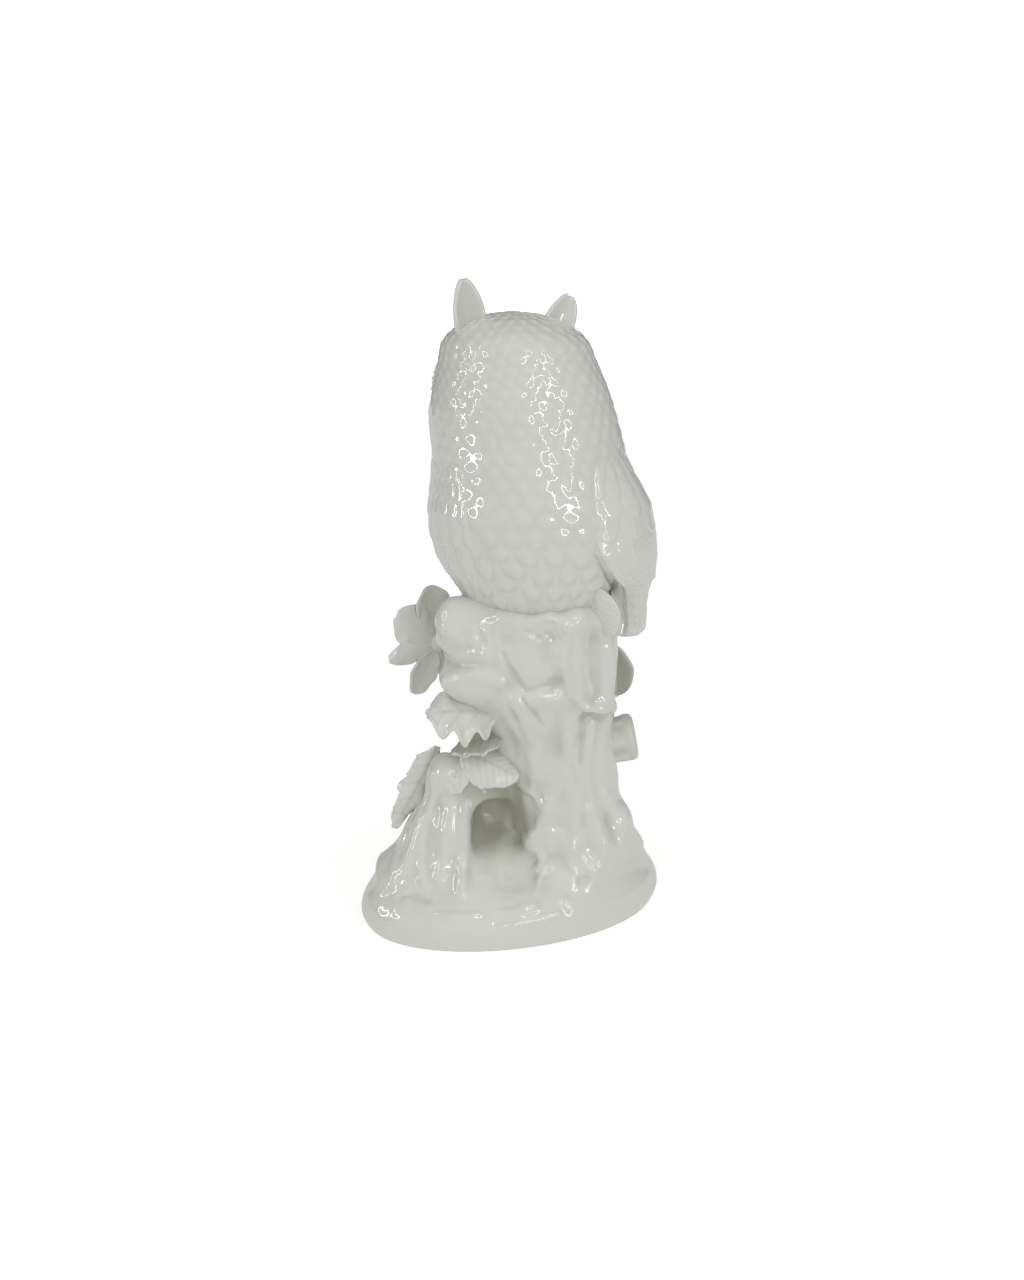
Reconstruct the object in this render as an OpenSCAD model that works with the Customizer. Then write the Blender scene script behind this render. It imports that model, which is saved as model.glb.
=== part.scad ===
// Glazed porcelain owl on a tree stump: slip-cast hollow shells with hand-made
// leaves, petals, ear tufts and toes luted on before firing.
// Frame: +Z up, origin under the middle of the oval base, the face looks along -Y.

/* [Overall] */
// Width of the oval base, left to right
base_w = 126; // [122:1:132]
// Depth of the oval base, front to back
base_d = 82; // [80:1:88]
// Height of the crown of the head above the table
crown_z = 238; // [236:1:240]
// Height of the flat top of the stump, on which the owl is luted
stump_top = 128; // [127:0.5:129]

/* [Casting] */
// Wall of the slip-cast shells
wall = 3.2; // [2.6:0.2:4]
// Thickness of leaves and petals
leaf_thick = 1.8; // [1.4:0.1:2.2]
// Thickness of the wing where it leaves the body
wing_thick = 6; // [5:0.5:7]
// Radius of the vent hole in the floor
vent_r = 5; // [3:0.5:7]

/* [Hidden] */
// The sculpture is laid out facing -Y and then turned on its base by this angle.
layout_turn = 22;
// ... and moved forward by this much, so that the origin is under the middle of the whole.
layout_forward = 1;
// Height of the top of the oval base, on which stump and root stand
base_top = 16;
// Facets round a lofted shell
sides = 40;
floor_z = 2;
floor_thick = 3;

// ---- lofting ----

// Points of an oval ring; r is [height, centre x, centre y, half width, half depth].
function ring(r) = [for (i = [0:sides - 1]) let (a = 360 * i / sides)
    [r[1] + r[3] * cos(a), r[2] + r[4] * sin(a), r[0]]];

// The same ring moved inwards by t.
function inset(r, t) = [r[0], r[1], r[2], r[3] - t, r[4] - t];

function reversed(list) = [for (i = [len(list) - 1:-1:0]) list[i]];

// Triangles that skin m rings of n points each; looped joins the last ring to the first.
function skin_faces(m, n, looped) = concat(
    [for (j = [0:(looped ? m - 1 : m - 2)], i = [0:n - 1], half = [0, 1])
        let (a = j * n + i, b = j * n + (i + 1) % n)
        let (c = ((j + 1) % m) * n + i, d = ((j + 1) % m) * n + (i + 1) % n)
        half == 0 ? [a, c, b] : [b, c, d]],
    looped ? [] : [for (i = [1:n - 2]) [0, i, i + 1]],
    looped ? [] : [for (i = [1:n - 2]) let (e = (m - 1) * n) [e, e + i + 1, e + i]]);

// Solid through a list of rings, given from the bottom up.
module skin(rings, looped = false) {
    n = len(rings[0]);
    polyhedron(points = [for (r = rings, p = r) p], faces = skin_faces(len(rings), n, looped));
}

// Turns the layout onto the base.
module laid_out() {
    translate([0, -layout_forward, 0]) rotate([0, 0, -layout_turn]) children();
}

// ---- thin hand-made plates: leaves, petals and ear tufts ----

// Half width of a plate at s along it. full below 1 puts the widest place nearer the
// stem, and a low blunt gives round ends.
function plate_half(s, w, full, blunt) = w / 2 * pow(sin(180 * pow(s, full)), blunt);

// A bent plate from the origin along +Y. cup bends its sides up, bow lifts its middle.
module plate(length, w, cup = 2, bow = 2, full = 0.8, thick = leaf_thick, blunt = 0.8) {
    steps = 8;
    across = 4;
    s0 = 0.04;
    s1 = 0.985;
    // the cup fades with the width, so that both ends stay flat
    function mid(s, t) = let (h = plate_half(s, w, full, blunt))
        [h * t, length * s, cup * t * t * h / (w / 2) + bow * 4 * s * (1 - s)];
    skin([for (j = [steps:-1:0]) let (s = s0 + (s1 - s0) * j / steps)
        concat([for (t = [-across:across]) mid(s, t / across)],
            [for (t = [-across:across]) mid(s, -t / across) + [0, 0, thick]])]);
}

// A leaf from its stem end to its tip, rolled about its own length.
module leaf(from, to, roll, w, cup = 2, bow = 2, full = 0.8) {
    d = to - from;
    color("white") laid_out() translate(from) rotate([0, 0, atan2(-d.x, d.y)])
        rotate([asin(d.z / norm(d)), 0, 0]) rotate([0, roll, 0]) plate(norm(d), w, cup, bow, full);
}

// ---- base ----

// Height and share of the full oval at that height.
base_profile = [[0, 0.945], [2, 0.975], [6, 1], [10, 0.985], [13.5, 0.94], [base_top, 0.88]];
rim_wall = wall * 1.3;

function base_ring(z, t = 0) = let (share = lookup(z, base_profile))
    ring([z, 0, 0, base_w / 2 * share - t, base_d / 2 * share - t]);

module base_mound() {
    // opening in the top, hidden under the stump
    opening = [base_top, -22, 8, 20, 15];
    inner_top = [base_top - wall, 0, 0, base_w / 2 * 0.94 - rim_wall, base_d / 2 * 0.94 - rim_wall];
    outside = [for (p = base_profile) base_ring(p[0])];
    inside = [for (i = [2:-1:0]) base_ring(base_profile[i][0], rim_wall)];
    rings = concat(outside, [ring(opening), ring(opening - [wall, 0, 0, 0, 0]), ring(inner_top)], inside);
    color("whitesmoke") skin(rings, looped = true);
}

module floor_plate() {
    color("gainsboro") difference() {
        skin([for (z = [floor_z, floor_z + floor_thick]) base_ring(z, rim_wall)]);
        translate([0, 0, floor_z - 1]) cylinder(r = vent_r, h = floor_thick + 2, $fn = 48);
    }
}

// ---- stump ----

// Rings of the trunk: [height, centre x, centre y, half width, half depth].
stump_rings = [
    [base_top, -26, 0, 31, 27], [24, -26, 0, 29.5, 25], [32, -25, 0, 26.5, 22], [42, -21.5, 0, 23, 20],
    [54, -18, 0, 19.5, 19.5], [66, -17, 1, 21, 20], [78, -15, 2, 26, 22.5], [88, -11.5, 3, 31, 26],
    [98, -8, 3, 34.5, 28.5], [108, -7.5, 3, 35, 29.5], [117, -7.5, 2, 34.5, 29.5],
    [stump_top - 4, -8, 1.5, 33, 29], [stump_top, -8.5, 1, 29.5, 27.5]];

module stump() {
    inner = [for (r = reversed(stump_rings)) ring(inset(r, wall * 1.15))];
    color("whitesmoke") laid_out() skin(concat([for (r = stump_rings) ring(r)], inner), looped = true);
}

// The big root on the left with the hollow under it.
module root_buttress() {
    root_rings = [[base_top, 25.5, 8, 24, 22], [25, 25, 8, 23.5, 21], [35, 22.5, 8, 22, 19],
        [45, 19, 8, 20, 17.5], [55, 16, 8, 17, 15.5], [62, 13.5, 8, 15, 13], [68, 12, 8, 11.5, 9],
        [71, 12, 8, 6, 5]];
    arch_r = 9.5;
    color("whitesmoke") laid_out() difference() {
        skin([for (r = root_rings) ring(r)]);
        // the trunk's own space
        skin([for (i = [0:6]) ring(inset(stump_rings[i] - [i == 0 ? 1 : 0, 0, 0, 0, 0], -0.1))]);
        // the hollow, an arch open to the back
        translate([7, 40, 44.5]) rotate([90, 0, 0]) linear_extrude(33) union() {
            circle(r = arch_r, $fn = 40);
            translate([-arch_r, -30]) square([2 * arch_r, 30]);
        }
    }
}

module branch_stub() {
    color("whitesmoke") laid_out() translate([-31, -1, 69]) rotate([-80, 0, 92])
        rotate_extrude($fn = 48) polygon(concat([[0, 0], [9.5, 0], [8.6, 8], [8.4, 13]],
            [for (t = [0:15:75]) [5.4 + 3 * cos(t), 14 + 3 * sin(t)]], [[4.6, 16], [0, 15]]));
}

// ---- owl ----

// Rings of the body and head: [height, centre x, centre y, half width, half depth].
owl_rings = [
    [stump_top, -11, 1, 26.5, 25.5], [134, -11, 1, 29, 29], [140, -11, 1, 33, 32],
    [148, -10.3, 0.5, 37, 34.5], [157, -9.5, 0, 39, 35.8], [166, -8.5, 0, 39.3, 36],
    [176, -7.8, 0, 38, 35], [185, -6.8, -0.5, 36.8, 34], [194, -5.5, -1, 36, 33],
    [203, -4, -1, 34.8, 32.2], [211, -3.5, -1, 32.8, 30.8], [220, -2.5, -1, 29.5, 28.2],
    [226.6, -1.6, -1, 26.2, 25.5], [231.8, -1, -1, 21.8, 21.5], [crown_z - 1.8, -0.8, -1, 15.2, 15],
    [crown_z, -0.5, -1, 8, 8]];

module owl_body() {
    n = len(owl_rings);
    // the top two inner rings lie a wall lower, so that the crown is as thick as the sides
    inner = [for (i = [n - 2:-1:1]) let (drop = i > n - 4 ? wall : 0)
        ring(inset(owl_rings[i] - [drop, 0, 0, 0, 0], wall * 1.1))];
    neck = [stump_top, -11, 1, 17, 16];
    color("white") laid_out() skin(concat(inner, [ring(neck + [wall, 0, 0, 0, 0]), ring(neck)],
        [for (r = owl_rings) ring(r)]));
}

// Interpolated ring of the owl's body at height z.
function owl_at(z, i = 0) = (i >= len(owl_rings) - 2 || owl_rings[i + 1][0] >= z)
    ? let (a = owl_rings[i], b = owl_rings[i + 1], f = (z - a[0]) / (b[0] - a[0])) a + (b - a) * f
    : owl_at(z, i + 1);

// Point on the body at height z and bearing from the back towards the owl's right, raised by up.
function owl_point(z, bearing, up) = let (r = owl_at(max(z, stump_top)))
    [r[1] - (r[3] + up) * sin(bearing), r[2] + (r[4] + up) * cos(bearing), z];

// One row of a wing is [height, rear bearing, front bearing, how far it stands off the body].
module wing(rows, side) {
    across = 8;
    function bearing(r, k) = side * (r[1] + (r[2] - r[1]) * k / across);
    function swell(r, k) = r[3] * sin(25 + 130 * k / across) + 0.6;
    rings = [for (r = rows) concat(
        [for (k = [0:across]) owl_point(r[0], bearing(r, k), swell(r, k))],
        [for (k = [across:-1:0]) owl_point(r[0], bearing(r, k), max(0.05, swell(r, k) - wing_thick))])];
    color("white") laid_out() skin(side > 0 ? reversed(rings) : rings);
}

module wing_right() {
    wing([[190, 40, 94, 1], [185, 35, 105, 3], [176, 32, 111, 5.6], [166, 31, 114, 6.4], [157, 31, 115, 6.8],
        [148, 33, 114, 8], [141, 37, 111, 10], [134, 44, 106, 12.5], [127, 53, 100, 14.5], [122, 61, 95, 14],
        [117, 67, 90, 13.5]], 1);
}

module wing_left() {
    wing([[190, 40, 94, 0.8], [185, 36, 105, 1.3], [176, 34, 111, 1.7], [166, 33, 114, 1.9],
        [157, 33, 115, 1.9], [148, 35, 114, 1.9], [141, 39, 110, 1.7], [134, 46, 103, 1.5],
        [129, 56, 94, 1]], -1);
}

// The last feathers of the back, lapped over the rim of the stump.
module tail() {
    leaf([-29, 24, 139], [-36, 22, 119], -34, 15, -2.5, 2.5, 1.1);
}

// Ear tufts, thin cupped plates that lean out and back.
module ear(at, lean_out, length, w) {
    color("white") laid_out() translate(at) rotate([0, 0, head_turn]) rotate([86, lean_out, 0])
        plate(length, w, cup = -2, bow = -1, full = 0.72, thick = 2, blunt = 0.6);
}

module ear_left() {
    ear([15.5, 4, 227.5], 7, 24.4, 14);
}

module ear_right() {
    ear([-12.5, -6, 225.5], -28, 21, 12.5);
}

// ---- face, on the head's own bearing ----

head_turn = layout_turn;

module on_face() {
    laid_out() translate([-3.4, -1, 209]) rotate([0, 0, head_turn]) children();
}

module face_disc(side) {
    dish = [[0, -3], [14, -3], [15.2, -0.5], [14.6, 1.2], [12.6, 1.4], [6, 0.2], [0, 0]];
    color("white") on_face() translate([side * 13.2, -28.2, 0]) rotate([90, 0, side * 24])
        rotate_extrude($fn = 48) polygon(dish);
}

module eye(side) {
    ball = concat([[0, 0]], [for (t = [0:15:90]) [6 * cos(t), 0.2 + 4.4 * sin(t)]]);
    color("white") on_face() translate([side * 13.4, -27.8, 0.6]) rotate([90, 0, side * 24])
        rotate_extrude($fn = 48) polygon(ball);
}

module face_disc_left() {
    face_disc(1);
}

module face_disc_right() {
    face_disc(-1);
}

module eye_left() {
    eye(1);
}

module eye_right() {
    eye(-1);
}

module beak() {
    // [height above the eyes' line, how far it stands out, half width, half depth]
    hook = [[-15, 32.8, 0.8, 1], [-12, 34.2, 2.2, 2.6], [-8, 34.8, 3.4, 3.8], [-4, 34, 4, 4],
        [0, 32.5, 3.4, 3.2], [3, 30.5, 2.2, 2]];
    small = 16;
    color("white") on_face() skin([for (h = hook) [for (k = [0:small - 1]) let (a = 360 * k / small)
        [h[2] * cos(a), -h[1] + h[3] * sin(a), h[0]]]]);
}

// ---- feet: three toes each over the front edge of the stump ----

module toe(spread) {
    rotate([0, 0, spread]) rotate([112, 0, 0]) rotate_extrude($fn = 24)
        polygon([[0, 0], [2.6, 0], [3.3, 4], [3, 8], [3.1, 11], [2.4, 13.5], [1.2, 16.5], [0, 18.5]]);
}

module foot(x) {
    color("white") laid_out() translate([x, -23, stump_top + 2.5]) for (spread = [-26, 0, 26])
        translate([spread * 0.16, 0, 0]) toe(spread);
}

module foot_left() {
    foot(0);
}

module foot_right() {
    foot(-21);
}

// ---- flower ----

// The flower looks away from the stump, along its own +Z.
module on_flower() {
    laid_out() translate([27.5, -11, 108]) rotate([90, 0, 40]) children();
}

module petal(turn_about, w = 17) {
    color("white") on_flower() rotate([0, 0, turn_about]) translate([0, 2.2, 0]) rotate([10, 0, 0])
        plate(21.5, w, cup = 2.4, bow = 1.2, full = 1.15, blunt = 0.65);
}

module petal_1() {
    petal(-6);
}

module petal_2() {
    petal(-54, 19);
}

module petal_3() {
    petal(-100, 14);
}

module petal_4() {
    petal(-152, 15);
}

module petal_5() {
    petal(-222);
}

module petal_6() {
    petal(-292);
}

module flower_centre() {
    knob = [[0, 0], [2.2, 0], [2.4, 4.2], [4.2, 5.4], [4.4, 7.6], [2.6, 9.6], [0, 10.2]];
    color("white") on_flower() translate([0, 0, -4]) rotate_extrude($fn = 32) polygon(knob);
}

// ---- leaves: stem end, tip, roll, width, cup, bow ----

module leaf_lobed() {
    leaf([6, 17, 85], [33, 23, 87], -38, 20, 2, 3, 1);
}

module leaf_under() {
    leaf([3, 15, 76], [23, 20, 71], -12, 15, -2, 2);
}

module leaf_root() {
    leaf([20, 14, 70], [-1, 20.5, 62], 34, 14, -2, 2);
}

module leaf_root_low() {
    leaf([15, 18, 67], [28, 17, 57], -40, 12, -1.5, 1.5);
}

module leaf_side() {
    leaf([28, 8, 72], [47, 8, 36], 74, 21, -2, 1);
}

module leaf_right() {
    leaf([-34, -6, 114], [-42.5, -7, 88], 70, 15, 3, 2);
}

module leaf_front_upper() {
    leaf([16, -17, 104], [8, -32, 80], 10, 17, -2, 3);
}

module leaf_front_lower() {
    leaf([-7, -14, 63], [-2, -29, 38], -8, 18, -2, 3);
}

base_mound();
floor_plate();
stump();
root_buttress();
branch_stub();
owl_body();
wing_left();
wing_right();
tail();
ear_left();
ear_right();
face_disc_left();
face_disc_right();
eye_left();
eye_right();
beak();
foot_left();
foot_right();
petal_1();
petal_2();
petal_3();
petal_4();
petal_5();
petal_6();
flower_centre();
leaf_lobed();
leaf_under();
leaf_root();
leaf_root_low();
leaf_side();
leaf_right();
leaf_front_upper();
leaf_front_lower();
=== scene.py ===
"""White glazed porcelain owl on a tree stump: the looks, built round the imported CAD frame.

Shapes are worked out in layout millimetres, in which the stump's back is +Y, and to_row() turns
them into the frame's metres. Lengths are millimetres and angles degrees unless a name says more.
"""

import math

import bpy
import numpy as np
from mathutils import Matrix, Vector


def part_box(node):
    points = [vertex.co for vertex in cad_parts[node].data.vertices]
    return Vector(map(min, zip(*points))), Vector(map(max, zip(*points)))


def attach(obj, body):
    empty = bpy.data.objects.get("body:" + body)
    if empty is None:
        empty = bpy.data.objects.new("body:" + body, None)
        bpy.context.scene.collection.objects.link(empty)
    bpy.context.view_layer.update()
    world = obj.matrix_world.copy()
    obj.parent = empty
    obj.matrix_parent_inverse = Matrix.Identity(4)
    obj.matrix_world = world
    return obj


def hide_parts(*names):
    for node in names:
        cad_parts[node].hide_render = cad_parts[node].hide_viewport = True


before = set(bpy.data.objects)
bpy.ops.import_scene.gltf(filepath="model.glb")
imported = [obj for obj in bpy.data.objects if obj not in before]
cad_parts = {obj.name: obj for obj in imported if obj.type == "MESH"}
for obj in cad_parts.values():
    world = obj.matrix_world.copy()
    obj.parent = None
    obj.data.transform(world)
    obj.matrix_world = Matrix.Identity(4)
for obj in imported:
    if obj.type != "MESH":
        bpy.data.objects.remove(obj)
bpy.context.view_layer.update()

# ---- frame ----

MM = 0.001
LAYOUT_TURN = math.radians(22)
LAYOUT_FORWARD = 1.0
BODY = "root"
SEED = 137


def turned(p, angle):
    """p turned about +Z by angle, in radians."""
    c, s = math.cos(angle), math.sin(angle)
    return np.stack([p[..., 0] * c - p[..., 1] * s, p[..., 0] * s + p[..., 1] * c, p[..., 2]], -1)


def to_row(p):
    """Layout millimetres to the frame's metres."""
    return (turned(p, -LAYOUT_TURN) - [0, LAYOUT_FORWARD, 0]) * MM


def to_layout(p):
    """The frame's metres to layout millimetres."""
    return turned(p / MM + [0, LAYOUT_FORWARD, 0], LAYOUT_TURN)


def cad_points(node):
    """The vertices of a CAD node, in layout millimetres."""
    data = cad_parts[node].data
    flat = np.zeros(len(data.vertices) * 3)
    data.vertices.foreach_get("co", flat)
    return to_layout(flat.reshape(-1, 3))


def cad_levels(points):
    """Yields each height of a lofted CAD node with its vertices there."""
    for z in np.unique(points[:, 2].round(1)):
        level = points[abs(points[:, 2] - z) < 0.04]
        if len(level) > 15:
            yield z, level


def cad_rings(node):
    """Outer oval rings of a lofted CAD shell: [z, centre x, centre y, half width, half depth]."""
    rings = []
    for z, level in cad_levels(cad_points(node)):
        low, high = level.min(0), level.max(0)
        rings.append([z, *(low + high)[:2] / 2, *(high - low)[:2] / 2])
    rings = np.array(rings)
    # an inner ring is narrower than its neighbours
    inner_step = 1.5
    beside = (np.roll(rings[:, 3], 1) + np.roll(rings[:, 3], -1)) / 2
    keep = rings[:, 3] > beside - inner_step
    keep[[0, -1]] = True
    return rings[keep]


# ---- small numeric tools ----

def smoothstep(x, low=0.0, high=1.0):
    t = np.clip((x - low) / (high - low), 0, 1)
    return t * t * (3 - 2 * t)


def bell(x, width):
    return np.exp(-(x / width) ** 2)


def softened(values, sigma):
    """A one-dimensional profile, smoothed by a bell of sigma samples."""
    reach = int(4 * sigma) + 1
    kernel = bell(np.arange(-reach, reach + 1), sigma * math.sqrt(2))
    padded = np.pad(values, reach, mode="reflect", reflect_type="odd")
    return np.convolve(padded, kernel / kernel.sum(), mode="valid")


def blurred(grid, passes, wrap):
    """A height map smoothed by a few passes of 1-2-1; wrap joins its first axis end to end."""
    for _ in range(passes):
        g = np.pad(grid, ((1, 1), (0, 0)), mode="wrap" if wrap else "edge")
        grid = (g[:-2] + 2 * g[1:-1] + g[2:]) / 4
        g = np.pad(grid, ((0, 0), (1, 1)), mode="edge")
        grid = (g[:, :-2] + 2 * g[:, 1:-1] + g[:, 2:]) / 4
    return grid


def noise(points, cell, seed):
    """Smooth value noise from -1 to 1 with features about one cell wide."""
    size = 32
    table = np.random.default_rng(SEED + seed).random((size, size, size), dtype=np.float32) * 2 - 1
    scaled = points / np.asarray(cell, dtype=float)
    whole = np.floor(scaled).astype(int)
    part = scaled - whole
    part = part * part * (3 - 2 * part)
    total = 0
    for corner in np.ndindex(2, 2, 2):
        weight = 1
        for axis in range(3):
            weight = weight * (part[..., axis] if corner[axis] else 1 - part[..., axis])
        at = (whole + corner) % size
        total = total + weight * table[at[..., 0], at[..., 1], at[..., 2]]
    return total


def grid_normals(grid, wrap):
    """Unit normals of a grid of points, looking along its first axis times its second."""
    if wrap:
        along = np.roll(grid, -1, 0) - np.roll(grid, 1, 0)
    else:
        along = np.gradient(grid, axis=0)
    normal = np.cross(along, np.gradient(grid, axis=1))
    return normal / np.maximum(np.linalg.norm(normal, axis=-1, keepdims=True), 1e-9)


# ---- meshes ----

def grid_faces(m, n, wrap=False, start=0):
    """Quads of an m by n grid of points, numbered from start; wrap joins the m ends."""
    i, j = np.meshgrid(np.arange(m if wrap else m - 1), np.arange(n - 1), indexing="ij")
    i, j = i.ravel(), j.ravel()
    k = (i + 1) % m
    return start + np.stack([i * n + j, k * n + j, k * n + j + 1, i * n + j + 1], 1)


def closed_sheet(top, bottom):
    """Points and faces of a closed plate between two grids of points, top seen anticlockwise."""
    m, n = top.shape[:2]
    points = np.concatenate([top.reshape(-1, 3), bottom.reshape(-1, 3)])
    number = np.arange(m * n).reshape(m, n)
    rim = np.concatenate([number[:, 0], number[-1, 1:], number[-2::-1, -1], number[0, -2:0:-1]])
    after = np.roll(rim, -1)
    walls = np.stack([after, rim, rim + m * n, after + m * n], 1)
    return points, [grid_faces(m, n), grid_faces(m, n, start=m * n)[:, ::-1], walls]


def closed_loft(rings):
    """Points and faces of rings [round, along] closed by a point at each end."""
    m, n = rings.shape[:2]
    ends = np.array([rings[:, 0].mean(0), rings[:, -1].mean(0)])
    points = np.concatenate([rings.reshape(-1, 3), ends])
    i = np.arange(m)
    k = (i + 1) % m
    first = np.stack([k * n, i * n, np.full(m, m * n)], 1)
    last = np.stack([i * n + n - 1, k * n + n - 1, np.full(m, m * n + 1)], 1)
    return points, [grid_faces(m, n, wrap=True), first, last]


def joined(*shapes):
    """Several closed shapes, each (points, faces), as one."""
    points, faces, start = [], [], 0
    for p, f in shapes:
        points.append(p)
        faces += [part + start for part in f]
        start += len(p)
    return np.concatenate(points), faces


def facing_out(points, faces):
    """The faces of a closed shape, turned over if they enclose it inside out."""
    volume = 0
    for f in faces:
        corners = points[f]
        for k in range(1, f.shape[1] - 1):
            volume += np.sum(corners[:, 0] * np.cross(corners[:, k], corners[:, k + 1]))
    return faces if volume > 0 else [f[:, ::-1] for f in faces]


def add_piece(name, shape, material, pool_and_shade=None):
    """A piece from (points, faces) in layout millimetres that stands for the CAD node of its name.

    The last argument, from 0 to 1 at each point, darkens and yellows the glaze: partly glaze pooled in
    hollows, partly painted shade in hollows, creases and on plates turned away from the light.
    """
    points, faces = shape
    faces = facing_out(points, faces)
    mesh = bpy.data.meshes.new(name)
    mesh.vertices.add(len(points))
    mesh.vertices.foreach_set("co", to_row(np.asarray(points, float)).ravel())
    sizes = np.concatenate([np.full(len(f), f.shape[1]) for f in faces])
    mesh.loops.add(int(sizes.sum()))
    mesh.loops.foreach_set("vertex_index", np.concatenate([f.ravel() for f in faces]))
    mesh.polygons.add(len(sizes))
    mesh.polygons.foreach_set("loop_start", np.concatenate([[0], np.cumsum(sizes)[:-1]]))
    mesh.polygons.foreach_set("use_smooth", np.ones(len(sizes), bool))
    mesh.update(calc_edges=True)
    if pool_and_shade is not None:
        layer = mesh.attributes.new("pool_and_shade", "FLOAT", "POINT")
        values = np.zeros(len(points))
        values[:np.size(pool_and_shade)] = np.ravel(pool_and_shade)
        layer.data.foreach_set("value", values)
    piece = bpy.data.objects.new(name, mesh)
    bpy.context.scene.collection.objects.link(piece)
    mesh.materials.append(material["shader"])
    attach(piece, BODY)
    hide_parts(name)


# ---- clay: base, stump and root are sculpted as one signed distance field ----

CLAY_STEP = 0.72


def merged(a, b, soft):
    """Smooth union of two distance fields."""
    h = np.clip(0.5 + 0.5 * (b - a) / soft, 0, 1)
    return b + (a - b) * h - soft * h * (1 - h)


def carved(a, b, soft):
    """a with b cut out of it, softly."""
    return -merged(-a, b, soft)


class Clay:
    """A block of space with a distance field in it, negative inside the clay."""

    def __init__(self, low, high, step):
        self.step = step
        self.axes = [np.arange(a, b, step) for a, b in zip(low, high)]
        self.grid = np.meshgrid(*self.axes, indexing="ij", sparse=True)
        self.field = np.full([len(a) for a in self.axes], 99.0, np.float32)

    def window(self, low, high):
        """The part of the block between two corners, as slices and sparse coordinates."""
        cut = tuple(slice(*np.searchsorted(a, (l, h))) for a, l, h in zip(self.axes, low, high))
        return cut, np.meshgrid(*[a[c] for a, c in zip(self.axes, cut)], indexing="ij", sparse=True)

    def skin(self, x, z, side=1):
        """The y of the clay's surface at x and z, seen from the back (side 1) or the front."""
        i = np.argmin(abs(self.axes[0] - x))
        k = np.argmin(abs(self.axes[2] - z))
        inside = np.nonzero(self.field[i, :, k] < 0)[0]
        if len(inside) == 0:
            return 0.0
        return self.axes[1][inside[-1] if side > 0 else inside[0]]

    def on_skin(self, marks, sink, side):
        """Points [x, y, z, radius] of marks [x, z, radius], sunk below the surface."""
        return np.array([[x, self.skin(x, z, side) - side * sink * r, z, r] for x, z, r in marks])

    def stroke(self, line, soft, add):
        """Adds or cuts a round stroke through points [x, y, z, radius]."""
        line = np.atleast_2d(np.asarray(line, float))
        if len(line) == 1:
            line = np.repeat(line, 2, 0)
        reach = line[:, 3].max() + 2 * soft
        cut, (x, y, z) = self.window(line[:, :3].min(0) - reach, line[:, :3].max(0) + reach)
        nearest = None
        for a, b in zip(line[:-1], line[1:]):
            d = b[:3] - a[:3]
            length2 = max(float(d @ d), 1e-6)
            t = ((x - a[0]) * d[0] + (y - a[1]) * d[1] + (z - a[2]) * d[2]) / length2
            t = np.clip(t, 0, 1)
            gap = np.sqrt((x - a[0] - t * d[0]) ** 2 + (y - a[1] - t * d[1]) ** 2
                          + (z - a[2] - t * d[2]) ** 2) - (a[3] + (b[3] - a[3]) * t)
            nearest = gap if nearest is None else np.minimum(nearest, gap)
        change = merged if add else carved
        self.field[cut] = change(self.field[cut], nearest.astype(np.float32), soft)

    def ridge(self, marks, side=1, soft=1.6, sink=0.35):
        self.stroke(self.on_skin(marks, sink, side), soft, add=True)

    def groove(self, marks, side=1, soft=1.2, sink=-0.55):
        self.stroke(self.on_skin(marks, sink, side), soft + 1.0, add=False)

    def lump(self, centre, half, soft, add=True):
        """Adds or cuts an egg of half sizes half at centre."""
        centre, half = np.asarray(centre, float), np.asarray(half, float)
        reach = half + 2 * soft
        cut, at = self.window(centre - reach, centre + reach)
        scaled = [(g - c) / h for g, c, h in zip(at, centre, half)]
        q = np.sqrt(sum(s * s for s in scaled))
        slope = np.sqrt(sum((s / h) ** 2 for s, h in zip(scaled, half)))
        gap = ((q - 1) * q / np.maximum(slope, 1e-3)).astype(np.float32)
        change = merged if add else carved
        self.field[cut] = change(self.field[cut], gap, soft)

    def near_skin(self, reach):
        """Where the field is within reach of the surface, and the points there."""
        where = np.nonzero(abs(self.field) < reach)
        return where, np.stack([a[w] for a, w in zip(self.axes, where)], -1)


def sampled(clay, field, points):
    """The field at points, interpolated between the grid's corners."""
    at = (points - [a[0] for a in clay.axes]) / clay.step
    whole = np.clip(np.floor(at).astype(int), 0, np.array(field.shape) - 2)
    part = at - whole
    total = 0
    for corner in np.ndindex(2, 2, 2):
        weight = 1
        for axis in range(3):
            weight = weight * (part[:, axis] if corner[axis] else 1 - part[:, axis])
        i, j, k = (whole + corner).T
        total = total + weight * field[i, j, k]
    return total


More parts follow.
